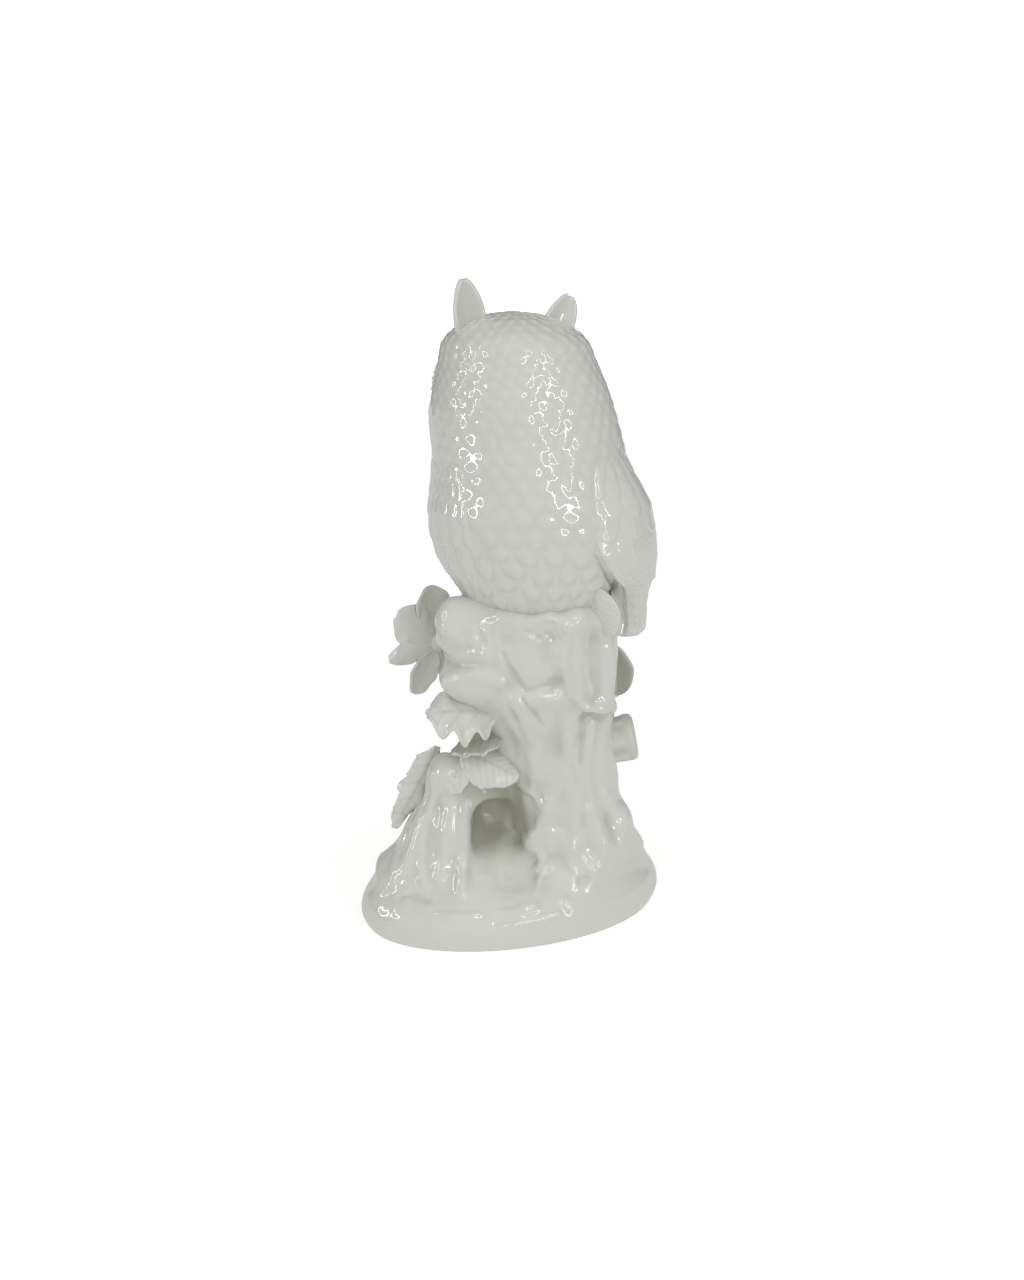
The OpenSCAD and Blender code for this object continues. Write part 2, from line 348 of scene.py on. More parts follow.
def surface_of(clay, field):
    """Closed quads round the inside of a field: one point in each cell that it crosses."""
    inside = field < 0
    count = sum(inside[tuple(slice(c, n - 1 + c) for c, n in zip(corner, field.shape))].astype(int)
                for corner in np.ndindex(2, 2, 2))
    cells = np.argwhere((count > 0) & (count < 8))
    number = np.full(count.shape, -1)
    number[tuple(cells.T)] = np.arange(len(cells))
    total = np.zeros((len(cells), 3))
    hits = np.zeros(len(cells))
    for axis in range(3):
        others = [a for a in range(3) if a != axis]
        for side in np.ndindex(2, 2):
            start = cells.copy()
            start[:, others] += side
            end = start.copy()
            end[:, axis] += 1
            a, b = field[tuple(start.T)], field[tuple(end.T)]
            crossed = (a < 0) != (b < 0)
            place = (start - cells).astype(float)
            place[crossed, axis] = a[crossed] / (a[crossed] - b[crossed])
            total[crossed] += place[crossed]
            hits[crossed] += 1
    points = np.array([a[0] for a in clay.axes]) + (cells + total / hits[:, None]) * clay.step
    faces = []
    for axis in range(3):
        u, v = (axis + 1) % 3, (axis + 2) % 3
        low = np.take(inside, range(field.shape[axis] - 1), axis)
        high = np.take(inside, range(1, field.shape[axis]), axis)
        edges = np.argwhere(low != high)
        edges = edges[(edges[:, u] > 0) & (edges[:, v] > 0)
                      & (edges[:, u] < count.shape[u]) & (edges[:, v] < count.shape[v])]
        ring = []
        for du, dv in ((1, 1), (0, 1), (0, 0), (1, 0)):
            cell = edges.copy()
            cell[:, u] -= du
            cell[:, v] -= dv
            ring.append(number[tuple(cell.T)])
        quads = np.stack(ring, 1)
        outward = low[tuple(edges.T)]
        quads[~outward] = quads[~outward][:, ::-1]
        faces.append(quads)
    return points, [np.concatenate(faces)]


def settled(clay, field, shape, passes=2):
    """Moves the points of a surface onto the field's own surface, so that the gloss runs smooth."""
    points, faces = shape
    slopes = np.gradient(field, clay.step)
    for _ in range(passes):
        value = sampled(clay, field, points)
        slope = np.stack([sampled(clay, g, points) for g in slopes], -1)
        move = value[:, None] * slope / np.maximum((slope ** 2).sum(-1, keepdims=True), 0.2)
        points = points - np.clip(move, -0.5 * clay.step, 0.5 * clay.step)
    return points, faces


# ---- base, stump and root ----

BASE = dict(half_w=63.0, half_d=41.0, top=16.0, rim=13.5, rise=22.0, wall=4.2, ceiling=6.0)
# How wide the base and the ground on it are at each height, as a share of the whole
BASE_PROFILE = np.array([
    [0, 0.945], [2, 0.975], [6, 1], [10, 0.99], [13, 0.97], [16, 0.935], [20, 0.90]])
# Rings of the root: [height, centre x, centre y, half width, half depth]
ROOT_RINGS = np.array([
    [16, 25.5, 8, 24, 22], [25, 25, 8, 23.5, 21], [35, 22.5, 8, 22, 19], [45, 19, 8, 20, 17.5],
    [55, 16, 8, 17, 15.5], [62, 13.5, 8, 15, 13], [68, 12, 8, 11.5, 9], [71, 12, 8, 6, 5]])


# Heights at which the trunk and the root are cut off, below the owl's rolled seat
TRUNK_TOP = 127.0
ROOT_TOP = 70.0
# How far neighbouring pieces run into each other at a seam, and how much thinner they get there
SEAM_OVERLAP = 2.4
SEAM_DIP = 0.12


def profile(rings, column, z, soft=2.0):
    """A column of a ring table at heights z, with its corners smoothed."""
    step = 0.5
    fine = np.arange(rings[0, 0] - 20, rings[-1, 0] + 20, step)
    return np.interp(z, fine, softened(np.interp(fine, rings[:, 0], rings[:, column]), soft / step))


def oval_field(rings, grid, grow=0.0):
    """Rough distance to a loft of oval rings, open at both ends."""
    x, y, z = grid
    cx, cy, hw, hd = (profile(rings, c, z.ravel()).reshape(z.shape) for c in (1, 2, 3, 4))
    u, v = (x - cx) / (hw + grow), (y - cy) / (hd + grow)
    q = np.sqrt(u * u + v * v)
    slope = np.sqrt((u / (hw + grow)) ** 2 + (v / (hd + grow)) ** 2)
    return ((q - 1) * np.maximum(q, 0.05) / np.maximum(slope, 1e-4)).astype(np.float32)


def frame_plane(grid):
    """The frame's own x and y, in millimetres, at the points of a layout grid."""
    x, y, _ = grid
    c, s = math.cos(LAYOUT_TURN), math.sin(LAYOUT_TURN)
    return x * c + y * s, y * c - x * s - LAYOUT_FORWARD


def base_share(grid):
    """How far out on the oval base each point of the grid is: 0 in the middle, 1 at the rim."""
    frame_x, frame_y = frame_plane(grid)
    return np.hypot(frame_x / BASE["half_w"], frame_y / BASE["half_d"])


def base_field(grid, inset=0.0):
    """Rough distance to the sides of the oval base, which lies square to the frame."""
    frame_x, frame_y = frame_plane(grid)
    z = grid[2]
    share = profile(BASE_PROFILE, 1, z.ravel(), 1.0).reshape(z.shape)
    u = frame_x / (BASE["half_w"] * share - inset)
    v = frame_y / (BASE["half_d"] * share - inset)
    q = np.sqrt(u * u + v * v)
    slope = np.sqrt((u / (BASE["half_w"] - inset)) ** 2 + (v / (BASE["half_d"] - inset)) ** 2)
    return ((q - 1) * np.maximum(q, 0.05) / np.maximum(slope, 1e-4)).astype(np.float32)


def bark(points):
    """How far the bark stands out at points: long soft folds, lumps and small ripples."""
    # the trunk's axis stands at x = -17, and its bark is about 25 mm out
    from_axis = points[:, 0] + 17
    bearing = np.arctan2(from_axis, points[:, 1])
    unrolled = np.stack([bearing * 25, np.hypot(from_axis, points[:, 1]) * 0.4, points[:, 2]], -1)
    unrolled[:, 0] += 5 * noise(points, 17, 1)
    folds = noise(unrolled, (6.5, 9, 19), 2)
    lumps = noise(points, 9.5, 3)
    swirled = points + 3 * noise(points, 8, 5)[:, None]
    ripples = 1 - 2 * abs(noise(swirled, (5.5, 6, 7.5), 4))
    return 1.1 * folds + 0.6 * lumps + 0.2 * ripples


def sculpt_upper_lobes(clay):
    """The two bosses and the knot just below the owl."""
    # rolled rim round the owl's seat
    seat = [[-11 + 27.5 * math.cos(a), 1 + 26 * math.sin(a)] for a in np.radians(np.arange(0, 361, 12))]
    heights = [126.6 + 0.8 * math.sin(2.6 * i) for i in range(len(seat))]
    clay.stroke([[x, y, z, 4.2] for (x, y), z in zip(seat, heights)], 5.0, add=True)
    clay.lump((16.5, 11, 120.5), (12, 13, 12.0), 5)
    clay.lump((23, 13, 126), (5.0, 6, 6.0), 5)
    clay.lump((12, 17, 101.5), (15, 12.5, 9.0), 5)
    clay.lump((-2, 21, 97), (9, 8, 5.5), 5)
    for x, bend in ((12.5, 1.0), (8.5, -0.8), (4.5, 0.6)):
        clay.ridge([[x + 1, 124, 0.9], [x + bend, 119, 1.2], [x, 114, 0.9]], soft=1.4)
    clay.ridge([[24, 122, 1.8], [19, 119, 2.0], [15, 120, 1.6]], soft=3)
    clay.ridge([[27, 116, 1.6], [19, 112.5, 1.8], [9, 114, 1.6]], soft=3)
    clay.ridge([[24, 103, 1.8], [14, 106, 2.0], [4, 104, 1.8]], soft=3)
    clay.groove([[3, 115, 0.7], [1, 111, 0.9], [-2, 106, 1.0], [-5.5, 101, 0.8]], soft=0.5, sink=-0.4)
    clay.groove([[-8, 101.5, 0.9], [-13, 102.5, 1.2], [-18, 104, 0.8]], soft=3, sink=-0.85)
    # fold lip under the knot
    clay.ridge([[-5, 96, 1.6], [-11, 98, 2.0], [-18, 96.5, 1.6]], soft=4)
    # knot with wrinkled arcs
    for radius, depth in ((7.4, 0.9), (5.2, 0.9), (3.0, 0.8)):
        arc = np.radians(np.arange(30, 171, 20))
        clay.groove([[-13 + radius * math.cos(a), 120.5 + 0.9 * radius * math.sin(a), depth] for a in arc],
                    soft=0.3, sink=-0.45)
    clay.groove([[-22.6, 122.5, 1.0], [-22.3, 120.5, 1.0]], soft=0.4, sink=-0.3)
    for x, bend in ((-20.5, 1.2), (-24.5, -1.0), (-28.5, 0.8)):
        clay.ridge([[x, 120, 1.0], [x + bend, 113, 1.3], [x, 106, 1.2], [x - 2, 98, 1.2]], soft=1.6)
    curl = np.radians(np.arange(-60, 181, 30))
    clay.ridge([[-16.5 + 2.6 * math.cos(a), 109 + 2.6 * math.sin(a), 0.9] for a in curl], soft=1.0)
    clay.ridge([[-19, 110, 1.0], [-22, 104, 1.3], [-25, 97, 1.5], [-28, 92, 1.6]], soft=1.6)


def sculpt_columns(clay):
    """The smooth column on the right and the bark below it."""
    clay.ridge([[-34, 125, 2.4], [-36, 117, 3.0], [-36.5, 106, 3.6], [-36, 97, 4.0],
                [-34.5, 91, 4.4]], soft=3)
    clay.ridge([[-29, 92, 1.6], [-34, 90.5, 2.2], [-39, 89, 2.2]], soft=2.6)
    clay.groove([[-29, 87.5, 0.9], [-33, 86.5, 1.0], [-37, 85.5, 0.8]], soft=2.2, sink=-0.75)
    clay.groove([[-4.5, 98, 0.7], [-6.5, 95, 1.0], [-9.5, 91, 1.1], [-12, 86, 0.8]], soft=0.6, sink=-0.35)
    clay.ridge([[-1, 98, 1.2], [-4, 92, 1.6], [-7, 84, 1.6], [-10, 76, 1.4]], soft=2.4)
    for marks in ([[-30.5, 85, 2.6], [-29, 72, 2.6], [-30.5, 56, 2.4], [-33, 42, 2.2], [-37, 30, 2.4]],
                  [[-21.5, 80, 1.6], [-21, 66, 1.6], [-24.5, 52, 1.6], [-25, 38, 1.8], [-24, 28, 1.6]],
                  [[-9, 72, 2.2], [-9.5, 64, 2.0], [-7.5, 56, 1.8]],
                  [[-14.7, 53, 1.7], [-13.5, 43, 1.9], [-16, 34, 1.8]]):
        clay.ridge(marks, soft=2.6)
    # oval flat boss and ring low on the trunk
    clay.lump((-12, clay.skin(-12, 34) - 1.6, 34.5), (6.5, 3.2, 6), 2.6)
    clay.lump((-12.4, clay.skin(-12.4, 25) - 0.8, 25), (3.4, 2.2, 3.6), 2.0)
    # folds right of the hollow and ripples on the ground
    for marks in ([[-4, 58, 1.1], [-10, 54, 1.5], [-14, 49, 1.5], [-12, 43, 1.3]],
                  [[-3, 38, 1.1], [-7, 34, 1.5], [-12, 31, 1.5], [-12, 25, 1.5], [-10, 19, 1.1]],
                  [[-20, 40, 1.1], [-20.5, 33, 1.4], [-24, 27, 1.5], [-28, 22, 1.1]],
                  [[-26, 78, 1.0], [-25, 70, 1.3], [-27, 60, 1.3], [-28, 50, 1.0]],
                  [[28, 15, 1.0], [20, 14, 1.3], [12, 15, 1.0]],
                  [[6, 15.5, 1.0], [-2, 15, 1.3], [-9, 16, 1.0]],
                  [[4, 11, 0.9], [-6, 10.5, 1.2], [-18, 12, 0.9]],
                  [[-21, 16, 1.0], [-26, 12, 1.2], [-27, 8, 0.9]]):
        clay.ridge(marks, soft=1.5)
    # ridges that spread over the base on the right
    for marks in ([[-31, 48, 2.0], [-35, 38, 2.4], [-39, 28, 2.4], [-42, 20, 2.0]],
                  [[-24, 34, 1.8], [-29, 27, 2.2], [-34, 20, 2.0]],
                  [[-36, 52, 2.0], [-41, 42, 2.4], [-46, 31, 2.4], [-50, 22, 2.0]]):
        clay.ridge(marks, soft=3)
    clay.groove([[-27, 22, 0.9], [-33, 23, 1.2], [-40, 22, 0.9]], soft=1.6, sink=-0.5)
    clay.lump((-42.5, 4, 39), (5, 7, 7), 6)
    clay.lump((-42, 2, 17), (14, 17, 11), 9)


def sculpt_root(clay):
    """The arched root and its hollow."""
    clay.ridge([[18.0, 53, 1.4], [18.2, 44, 1.6], [18.4, 33, 1.7], [19.0, 20, 2.0]], soft=2.0)
    clay.ridge([[30, 56, 2.2], [34, 46, 2.6], [37, 34, 2.8], [41, 24, 2.6]], soft=3.4)
    clay.ridge([[24, 52, 1.4], [25, 42, 1.6], [26, 32, 1.6], [28, 24, 1.6]], soft=2.6)
    # small arched pit with a lump in it
    clay.groove([[42.5, 17.8, 0.8], [38, 19, 1.1], [33, 18.4, 0.8]], soft=1.6, sink=-0.6)
    clay.ridge([[38.5, 22, 1.4], [35, 22.6, 1.4], [32, 21.4, 1.2]], soft=1.6)
    clay.lump((23, 28, 16), (3.8, 3.4, 2.6), 2.8)
    clay.lump((25, 13, 61), (8, 9, 9), 6)
    for marks in ([[30, 64, 1.2], [29.5, 56, 1.4], [34, 43, 1.5], [35.5, 30, 1.5], [34, 22, 1.2]],
                  [[23, 62, 1.2], [22.5, 54, 1.3], [23.5, 45, 1.3], [22.5, 34, 1.2]],
                  [[41, 36, 1.1], [43.5, 28, 1.3], [44, 21, 1.1]]):
        clay.ridge(marks, soft=1.4)
    # the foot of the root spreads out to the rim
    clay.lump((40, 9, 16), (15, 17, 11), 8)
    # the hollow: an arch whose floor rises as it goes in
    cut, (x, y, z) = clay.window((-12, -12, 18), (26, 46, 62))
    arch_x, arch_z, arch_r, back_y = 7.2, 44.6, 9.4, 5.0
    taper = arch_r - 0.10 * np.clip(30 - y, 0, 30)
    arch = np.hypot(x - arch_x, np.maximum(z - arch_z, 0)) - taper
    ramp = 24.0 + 0.55 * np.clip(31 - y, -20, 40) - z
    back = back_y - y + 0.12 * (z - arch_z)
    hollow = -merged(merged(-arch, -ramp, 8), -back, 6)
    clay.field[cut] = carved(clay.field[cut], hollow.astype(np.float32), 2.2)


def sculpt_front(clay):
    """Knots and long cracks on the side that the owl faces."""
    for x, z, r in ((-14, 96, 4.2), (4, 66, 3.2), (-24, 52, 2.8)):
        y = clay.skin(x, z, side=-1)
        clay.lump((x, y + 1, z), (r * 1.5, 2.6, r * 1.6), 2.5)
        clay.lump((x, y - 1.8, z), (r * 0.8, 3.2, r * 0.9), 1.6, add=False)
    for marks in ([[-2, 118, 1.4], [-4, 104, 1.8], [-7, 90, 1.7], [-8, 78, 1.4]],
                  [[-26, 112, 1.5], [-25, 98, 1.8], [-22, 84, 1.6]],
                  [[14, 112, 1.4], [12, 98, 1.7], [8, 84, 1.5]],
                  [[-14, 74, 1.3], [-18, 58, 1.6], [-26, 40, 1.5], [-34, 26, 1.5]],
                  [[-6, 60, 1.3], [-10, 44, 1.5], [-14, 28, 1.5]]):
        clay.groove(marks, side=-1, soft=1.6)
    for marks in ([[-20, 108, 2.4], [-19, 90, 2.4], [-16, 76, 2.2], [-18, 60, 2.2], [-24, 40, 2.6]],
                  [[6, 110, 2.4], [3, 92, 2.4], [0, 76, 2.0]],
                  [[20, 52, 2.6], [26, 40, 2.8], [32, 26, 3.0]],
                  [[-36, 44, 2.4], [-42, 30, 2.8]]):
        clay.ridge(marks, side=-1, soft=2.6)


def sculpt():
    """Base, stump and root as one field, and the fields that part them."""
    clay = Clay((-64, -48, -3), (64, 48, 137), CLAY_STEP)
    z = clay.grid[2]
    trunk = oval_field(cad_rings("stump"), clay.grid, grow=-1.0)
    top = (z - TRUNK_TOP).astype(np.float32)
    root = oval_field(ROOT_RINGS, clay.grid, grow=-1.2)
    root = -merged(-root, -(z - ROOT_TOP), 5)
    sides = base_field(clay.grid)
    # the top of the base slopes up from the rim to the trunk
    inward = np.clip(1 - base_share(clay.grid), 0, 1)
    slope = BASE["rim"] + BASE["rise"] * inward ** 0.8
    slab = -merged(-sides, -(z - slope), 6)
    clay.field = -merged(-trunk, -top, 5)
    clay.field = merged(clay.field, root, 5)
    clay.field = merged(clay.field, slab, 10)
    sculpt_upper_lobes(clay)
    sculpt_columns(clay)
    sculpt_root(clay)
    sculpt_front(clay)
    where, points = clay.near_skin(3.0)
    height = points[:, 2]
    # the bark fades on the foot rim, in the hollow and under the owl
    rough = smoothstep(height, 2, 11)
    in_hollow = bell(points[:, 0] - 7, 9) * bell(height - 40, 15) * smoothstep(points[:, 1], 30, 20)
    clay.field[where] -= (bark(points) * rough * (1 - 0.8 * in_hollow)).astype(np.float32)
    # nothing leaves the base's own outline or the table
    clay.field = np.maximum(clay.field, base_field(clay.grid) + 0.02)
    clay.field = np.maximum(clay.field, -z)
    return clay, trunk, root


def fired_pieces(clay, trunk, root):
    """Parts the sculpted field into the cast pieces that were luted together."""
    z = clay.grid[2] + 0 * trunk
    seam = BASE["top"]
    between = np.clip(0.5 * (root - trunk), -20, 20)
    cavity = np.maximum(base_field(clay.grid, inset=BASE["wall"]), z - BASE["ceiling"])
    regions = {
        "base_mound": z - seam,
        "stump": np.maximum(seam - z, -between),
        "root_buttress": np.maximum(seam - z, between),
    }
    for name, region in regions.items():
        thinned = clay.field + SEAM_DIP * np.maximum(region, 0)
        field = np.maximum(thinned, region - SEAM_OVERLAP)
        if name == "base_mound":
            field = np.maximum(field, -cavity)
        field = field.astype(np.float32)
        yield name, field, settled(clay, field, surface_of(clay, field))


def shade_and_pool_in_hollows(clay, field, points):
    """How hollow the surface is round each point: the field's mean nearby, scaled to 0..1; it darkens the
    glaze as pooled glaze and as painted shade.
    """
    total = 0
    steps = [s for s in np.ndindex(3, 3, 3) if s != (1, 1, 1)]
    for reach, share in ((2.2, 0.25), (6.5, 0.65)):
        near = 0
        for s in steps:
            offset = np.array(s) - 1.0
            near = near + sampled(clay, field, points + reach * offset / np.linalg.norm(offset))
        total = total + share * np.clip(-near / len(steps) / reach * 3.0, 0, 1)
    # painted shade deep in the arched hollow, where little light reaches
    depth = smoothstep(points[:, 1], 29, 17) * smoothstep(abs(points[:, 0] - 7), 16, 9)
    total = total + depth * smoothstep(points[:, 2], 27, 37) * smoothstep(points[:, 2], 62, 56)
    return np.clip(total, 0, 1)


# ---- plumage ----

OWL_RINGS = cad_rings("owl_body")
FACE_BEARING = LAYOUT_TURN
FACE_WAY = np.array([math.sin(FACE_BEARING), -math.cos(FACE_BEARING), 0])
# How far in front of the crown the head's feathers start
POLE_FORWARD = 10.0
# Lowest level between body feathers, as a share of their height
VALLEY = 0.06


def feather_rows(across, up, columns, tip=1.0, blunt=1.7, lift=1.0, pillow=0.45, round_up=0.0, edge=0.14):
    """Relief of feathers that overlap like roof tiles and point down, about 0 to lift.

    across runs from 0 to 1 and up counts the rows; columns gives how many feathers a row has.
    Returns the relief and, for the feather seen at each point, the offset from its rachis (from
    -0.5 to 0.5) and the height above its tip, in rows.
    """
    row = np.floor(up)

    def one_row(index):
        place = across * columns(index) - 0.5 * (index % 2)
        offset = place - np.floor(place) - 0.5
        above = up - index
        half = 0.5 * (1 - np.clip(1 - above / tip, 0, 1) ** blunt) ** 0.8
        crown = (2 * offset) ** 2 + round_up * (above - 0.5) ** 2
        height = lift * (1 - 0.55 * above) - pillow * lift * crown
        return offset, above, half, height

    offset, above, half, height = one_row(row)
    offset2, above2, _, height2 = one_row(row - 1)
    shown = smoothstep((half - abs(offset)) / edge)
    near_tip = smoothstep(above / (edge * 1.6))
    cover = shown * near_tip
    relief = height2 + (height - height2) * cover
    mine = cover > 0.5
    return relief, np.where(mine, offset, offset2), np.where(mine, above, above2)


def barbs(offset, above, count, slope):
    """Fine slanting lines either side of a rachis, from -1 to 1."""
    return np.sin(2 * math.pi * (count * above - slope * abs(offset)))


def on_oval(rings, z, bearing, up):
    """Points on a lofted oval at heights z; bearing runs from the back to the owl's right."""
    cx, cy, hw, hd = (np.interp(z, rings[:, 0], rings[:, c]) for c in (1, 2, 3, 4))
    return np.stack([cx - (hw + up) * np.sin(bearing), cy + (hd + up) * np.cos(bearing), z], -1)


def body_profile(count):
    """Rings of the owl at even steps along its side, smoothed: z, centres and half sizes."""
    crown = OWL_RINGS[-1] * [1, 1, 1, 0, 0] + [0.4, 0, 0, 0.02, 0.02]
    rings = np.vstack([OWL_RINGS, crown])
    run = np.hypot(np.diff(rings[:, 0]), np.diff(rings[:, 3]))
    along = np.concatenate([[0], np.cumsum(run)])
    fine = np.linspace(0, along[-1], 700)
    step = along[-1] / 700
    columns = [softened(np.interp(fine, along, rings[:, c]), 2.0 / step) for c in range(5)]
    # the head is a little squarer than the CAD's
    for c in (3, 4):
        columns[c] = columns[c] * (1 + 0.085 * bell(columns[0] - 229.5, 6.5))
    columns[3][-1] = columns[4][-1] = 0.02
    at = np.linspace(0, along[-1], count)
    return np.stack([np.interp(at, fine, c) for c in columns], 1)


def owl_surface():
    """The body and head: points [round, up] with their feathers, and how much pooled glaze and painted shade
    each gets.
    """
    round_count, up_count = ((384, 250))
    rings = body_profile(up_count)[:-1]
    bearing = np.linspace(0, 2 * math.pi, round_count, endpoint=False)[:, None]
    z = np.broadcast_to(rings[:, 0], (round_count, len(rings)))
    steps_up = np.hypot(np.diff(rings[:, 0]), np.diff(rings[:, 3]))
    from_crown = np.concatenate([np.cumsum(steps_up[::-1])[::-1], [0]])
    base = np.stack([rings[:, 1] - rings[:, 3] * np.sin(bearing),
                     rings[:, 2] + rings[:, 4] * np.cos(bearing), z], -1)
    normal = grid_normals(base, wrap=True)
    centre = np.stack([rings[:, 1], rings[:, 2], rings[:, 0]], -1)
    if np.sum(normal * (base - centre) * [1, 1, 0]) < 0:
        normal = -normal
    # the head's feathers run back from the forehead, the body's run down
    pole = np.array([-2.0, -1.0, 235.0]) + POLE_FORWARD * FACE_WAY
    head = smoothstep(z, 204, 236)
    axis = centre[:, :2] + (POLE_FORWARD * FACE_WAY[:2]) * head[..., None]
    swing = np.arctan2(-(base[..., 0] - axis[..., 0]), base[..., 1] - axis[..., 1]) / (2 * math.pi)
    from_pole = np.linalg.norm(base - pole, axis=-1)
    down = (1 - head) * (from_crown + POLE_FORWARD) + head * from_pole
    marks = np.array([0, 25, 45, 70, 95, 115, 130, 150])
    pitch = np.array([3.6, 4.0, 4.4, 5.0, 5.8, 6.6, 7.4, 8.0])
    steps = np.linspace(0, 165, 400)
    rows_down = np.concatenate([[0], np.cumsum(np.diff(steps) / np.interp(steps[1:], marks, pitch))])
    up = rows_down[-1] - np.interp(down, steps, rows_down)
    sway = 0.42 * noise(base, 10, 11)
    # [row from the bottom, feathers in it]
    crowd = np.array([[0, 22], [5, 22], [9, 25], [13, 30], [17, 33], [60, 33]])
    relief, offset, above = feather_rows(swing + 0.011 * noise(base, 10, 12), up + sway,
                                         lambda row: np.round(np.interp(row, crowd[:, 0], crowd[:, 1])),
                                         pillow=0.45, round_up=2.4)
    # shallow valleys between the rounded feathers
    relief = 0.5 * (relief + VALLEY + np.sqrt((relief - VALLEY) ** 2 + 0.02))
    low = smoothstep(z, 172, 146)
    fine = barbs(offset, above, 4.5, 5.0) * 0.09 * low * smoothstep(above, 0.05, 0.25)
    rachis = 0.14 * low * bell(offset, 0.07) * smoothstep(above, 0.05, 0.3)
    size = 0.50 + 0.30 * low + 0.12 * head
    # plain skin at the pole of the pattern, the crown's middle and the seat
    fade = smoothstep(from_pole, 5, 13) * smoothstep(z, 128, 133)
    relief = blurred((relief * size + fine + rachis) * fade, 3, wrap=True)
    relief = relief + 0.3 * noise(base, 11, 13)
    mean = blurred(relief, 8, wrap=True)
    # darker between the feathers: pooled glaze and painted shade in the creases
    pool_and_shade = np.clip((mean - relief) * (3.6 + 1.4 * low), 0, 1)
    # painted shade in a band round the seat, where the owl meets the stump
    pool_and_shade = np.clip(pool_and_shade + 0.45 * smoothstep(z, 138, 129), 0, 1)
    return base + normal * relief[..., None], pool_and_shade


def body_bearing(points):
    """Bearing and standoff of points from the CAD's body."""
    rings = OWL_RINGS
    z = np.maximum(points[:, 2], rings[0, 0])
    cx, cy, hw, hd = (np.interp(z, rings[:, 0], rings[:, c]) for c in (1, 2, 3, 4))
    x, y = -(points[:, 0] - cx), points[:, 1] - cy
    up = np.zeros(len(points))
    for _ in range(12):
        bearing = np.arctan2(x / (hw + up), y / (hd + up))
        s, c = np.sin(bearing), np.cos(bearing)
        up = x * s + y * c - (hw * s * s + hd * c * c)
    return bearing, up


def wing_rows(node, side):
    """Rows of a CAD wing: [z, rear bearing, front bearing, standoff]."""
    rows = []
    for z, level in cad_levels(cad_points(node)):
        bearing, up = body_bearing(level)
        rows.append([z, (bearing * side).min(), (bearing * side).max(), up.max() - 0.6])
    return np.array(rows)


# Rear edge of the wing seen from behind: [height, bearing in degrees]
SWEEP = np.array([
    [112, 80], [124, 76], [129, 70], [134, 62], [139, 53], [142, 46], [147, 38], [154, 31], [160, 28]])


# Thickness of a wing, and the deepest that its hidden face lies in the body
WING_THICK = 4.6
WING_SUNK = 3.0


def wing(node, side, tips, counts, material, step=1.0):
    """A folded wing: rows of coverts, then long feathers down to the tip.

    side is 1 for the owl's right. tips are the heights at which each row of feathers ends, from
    the bottom up, and counts how many feathers each row has. step 1 sweeps the rear edge forward
    and sets it clear of the back; 0 leaves it laid on.
    """
    rows = wing_rows(node, side)
    across_count, up_count = ((190, 230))
    k = np.linspace(0, 1, across_count)[:, None]
    z = np.linspace(rows[0, 0], rows[-1, 0], up_count)[None, :]
    fine_z = np.arange(rows[0, 0], rows[-1, 0], 0.25)
    columns = [softened(np.interp(fine_z, rows[:, 0], rows[:, c]), 10) for c in (1, 2, 3)]
    rear, front, stand = (np.interp(z, fine_z, column) for column in columns)
    sweep = np.radians(np.interp(z, SWEEP[:, 0], SWEEP[:, 1]))
    rear = rear + step * np.maximum(np.minimum(sweep, front - 0.3) - rear, 0)
    bearing = side * (rear + (front - rear) * k)
    crisp = step * smoothstep(z, 162, 152)
    arch = np.sin(math.pi * (0.03 + 0.9 * k)) ** (1.1 - 0.75 * crisp)
    top_fade = smoothstep(z, rows[-1, 0] + 1, rows[-1, 0] - (26 if step else 44))
    laid = np.minimum(smoothstep(k / 0.10) + crisp, 1) * smoothstep(rows[-1, 0] - z, 0, 7)
    # a little lower where it would stand out behind the CAD
    lower = 1.5 * step * smoothstep(abs(bearing - LAYOUT_TURN), 0.85, 0.3)
    stand_here = (stand - lower) * arch * top_fade + 0.6 * crisp - 1.6 * (1 - laid)
    z_grid = z + 0 * k
    on_body = np.maximum(z_grid, OWL_RINGS[0, 0])
    outer = on_oval(OWL_RINGS, on_body, bearing, stand_here)
    outer[..., 2] = z_grid
    inner = on_oval(OWL_RINGS, on_body, bearing, np.maximum(stand_here - WING_THICK, -WING_SUNK))
    inner[..., 2] = z_grid
    normal = grid_normals(outer, wrap=False)
    away = np.stack([-np.sin(bearing) + 0 * z, np.cos(bearing) + 0 * z, 0 * z_grid], -1)
    if np.sum(normal * away) < 0:
        normal = -normal
    up = np.interp(z_grid, tips, np.arange(len(tips), dtype=float))
    up = up + 0.08 * noise(outer, 12, 21)
    table = np.array(counts, float)

    def columns_in(row):
        return table[np.clip(row, 0, len(table) - 1).astype(int)]

    relief, offset, above = feather_rows(k + 0 * z, up, columns_in,
                                         tip=0.8, blunt=2.2, lift=1.2, pillow=0.4, edge=0.10)
    long = smoothstep(z_grid, tips[4], tips[2])
    fine = barbs(offset, above, 8.0, 4.5) * 0.09 * long
    rachis = 0.22 * bell(offset, 0.06) * long
    border = smoothstep(np.minimum(k, 1 - k) / 0.035)
    border = border * smoothstep(z_grid, rows[0, 0] - 0.2, rows[0, 0] + 1.6)
    border = border * smoothstep(rows[-1, 0] - z_grid, 0, 3)
    relief = (relief * (0.32 + 0.3 * long) + fine + rachis) * border
    relief = blurred(relief, 3, wrap=False)
    # darker between the feathers: pooled glaze and painted shade in the creases
    pool_and_shade = np.clip((blurred(relief, 8, wrap=False) - relief) * 3.5, 0, 1)
    # the rim is rounded over
    tuck = 1.5 * (1 - border)
    outer = outer + normal * (relief - tuck)[..., None]
    if side > 0:
        outer, inner, pool_and_shade = outer[::-1], inner[::-1], pool_and_shade[::-1]
    add_piece(node, closed_sheet(outer, inner), material, pool_and_shade=pool_and_shade)


# ---- thin hand-made plates ----

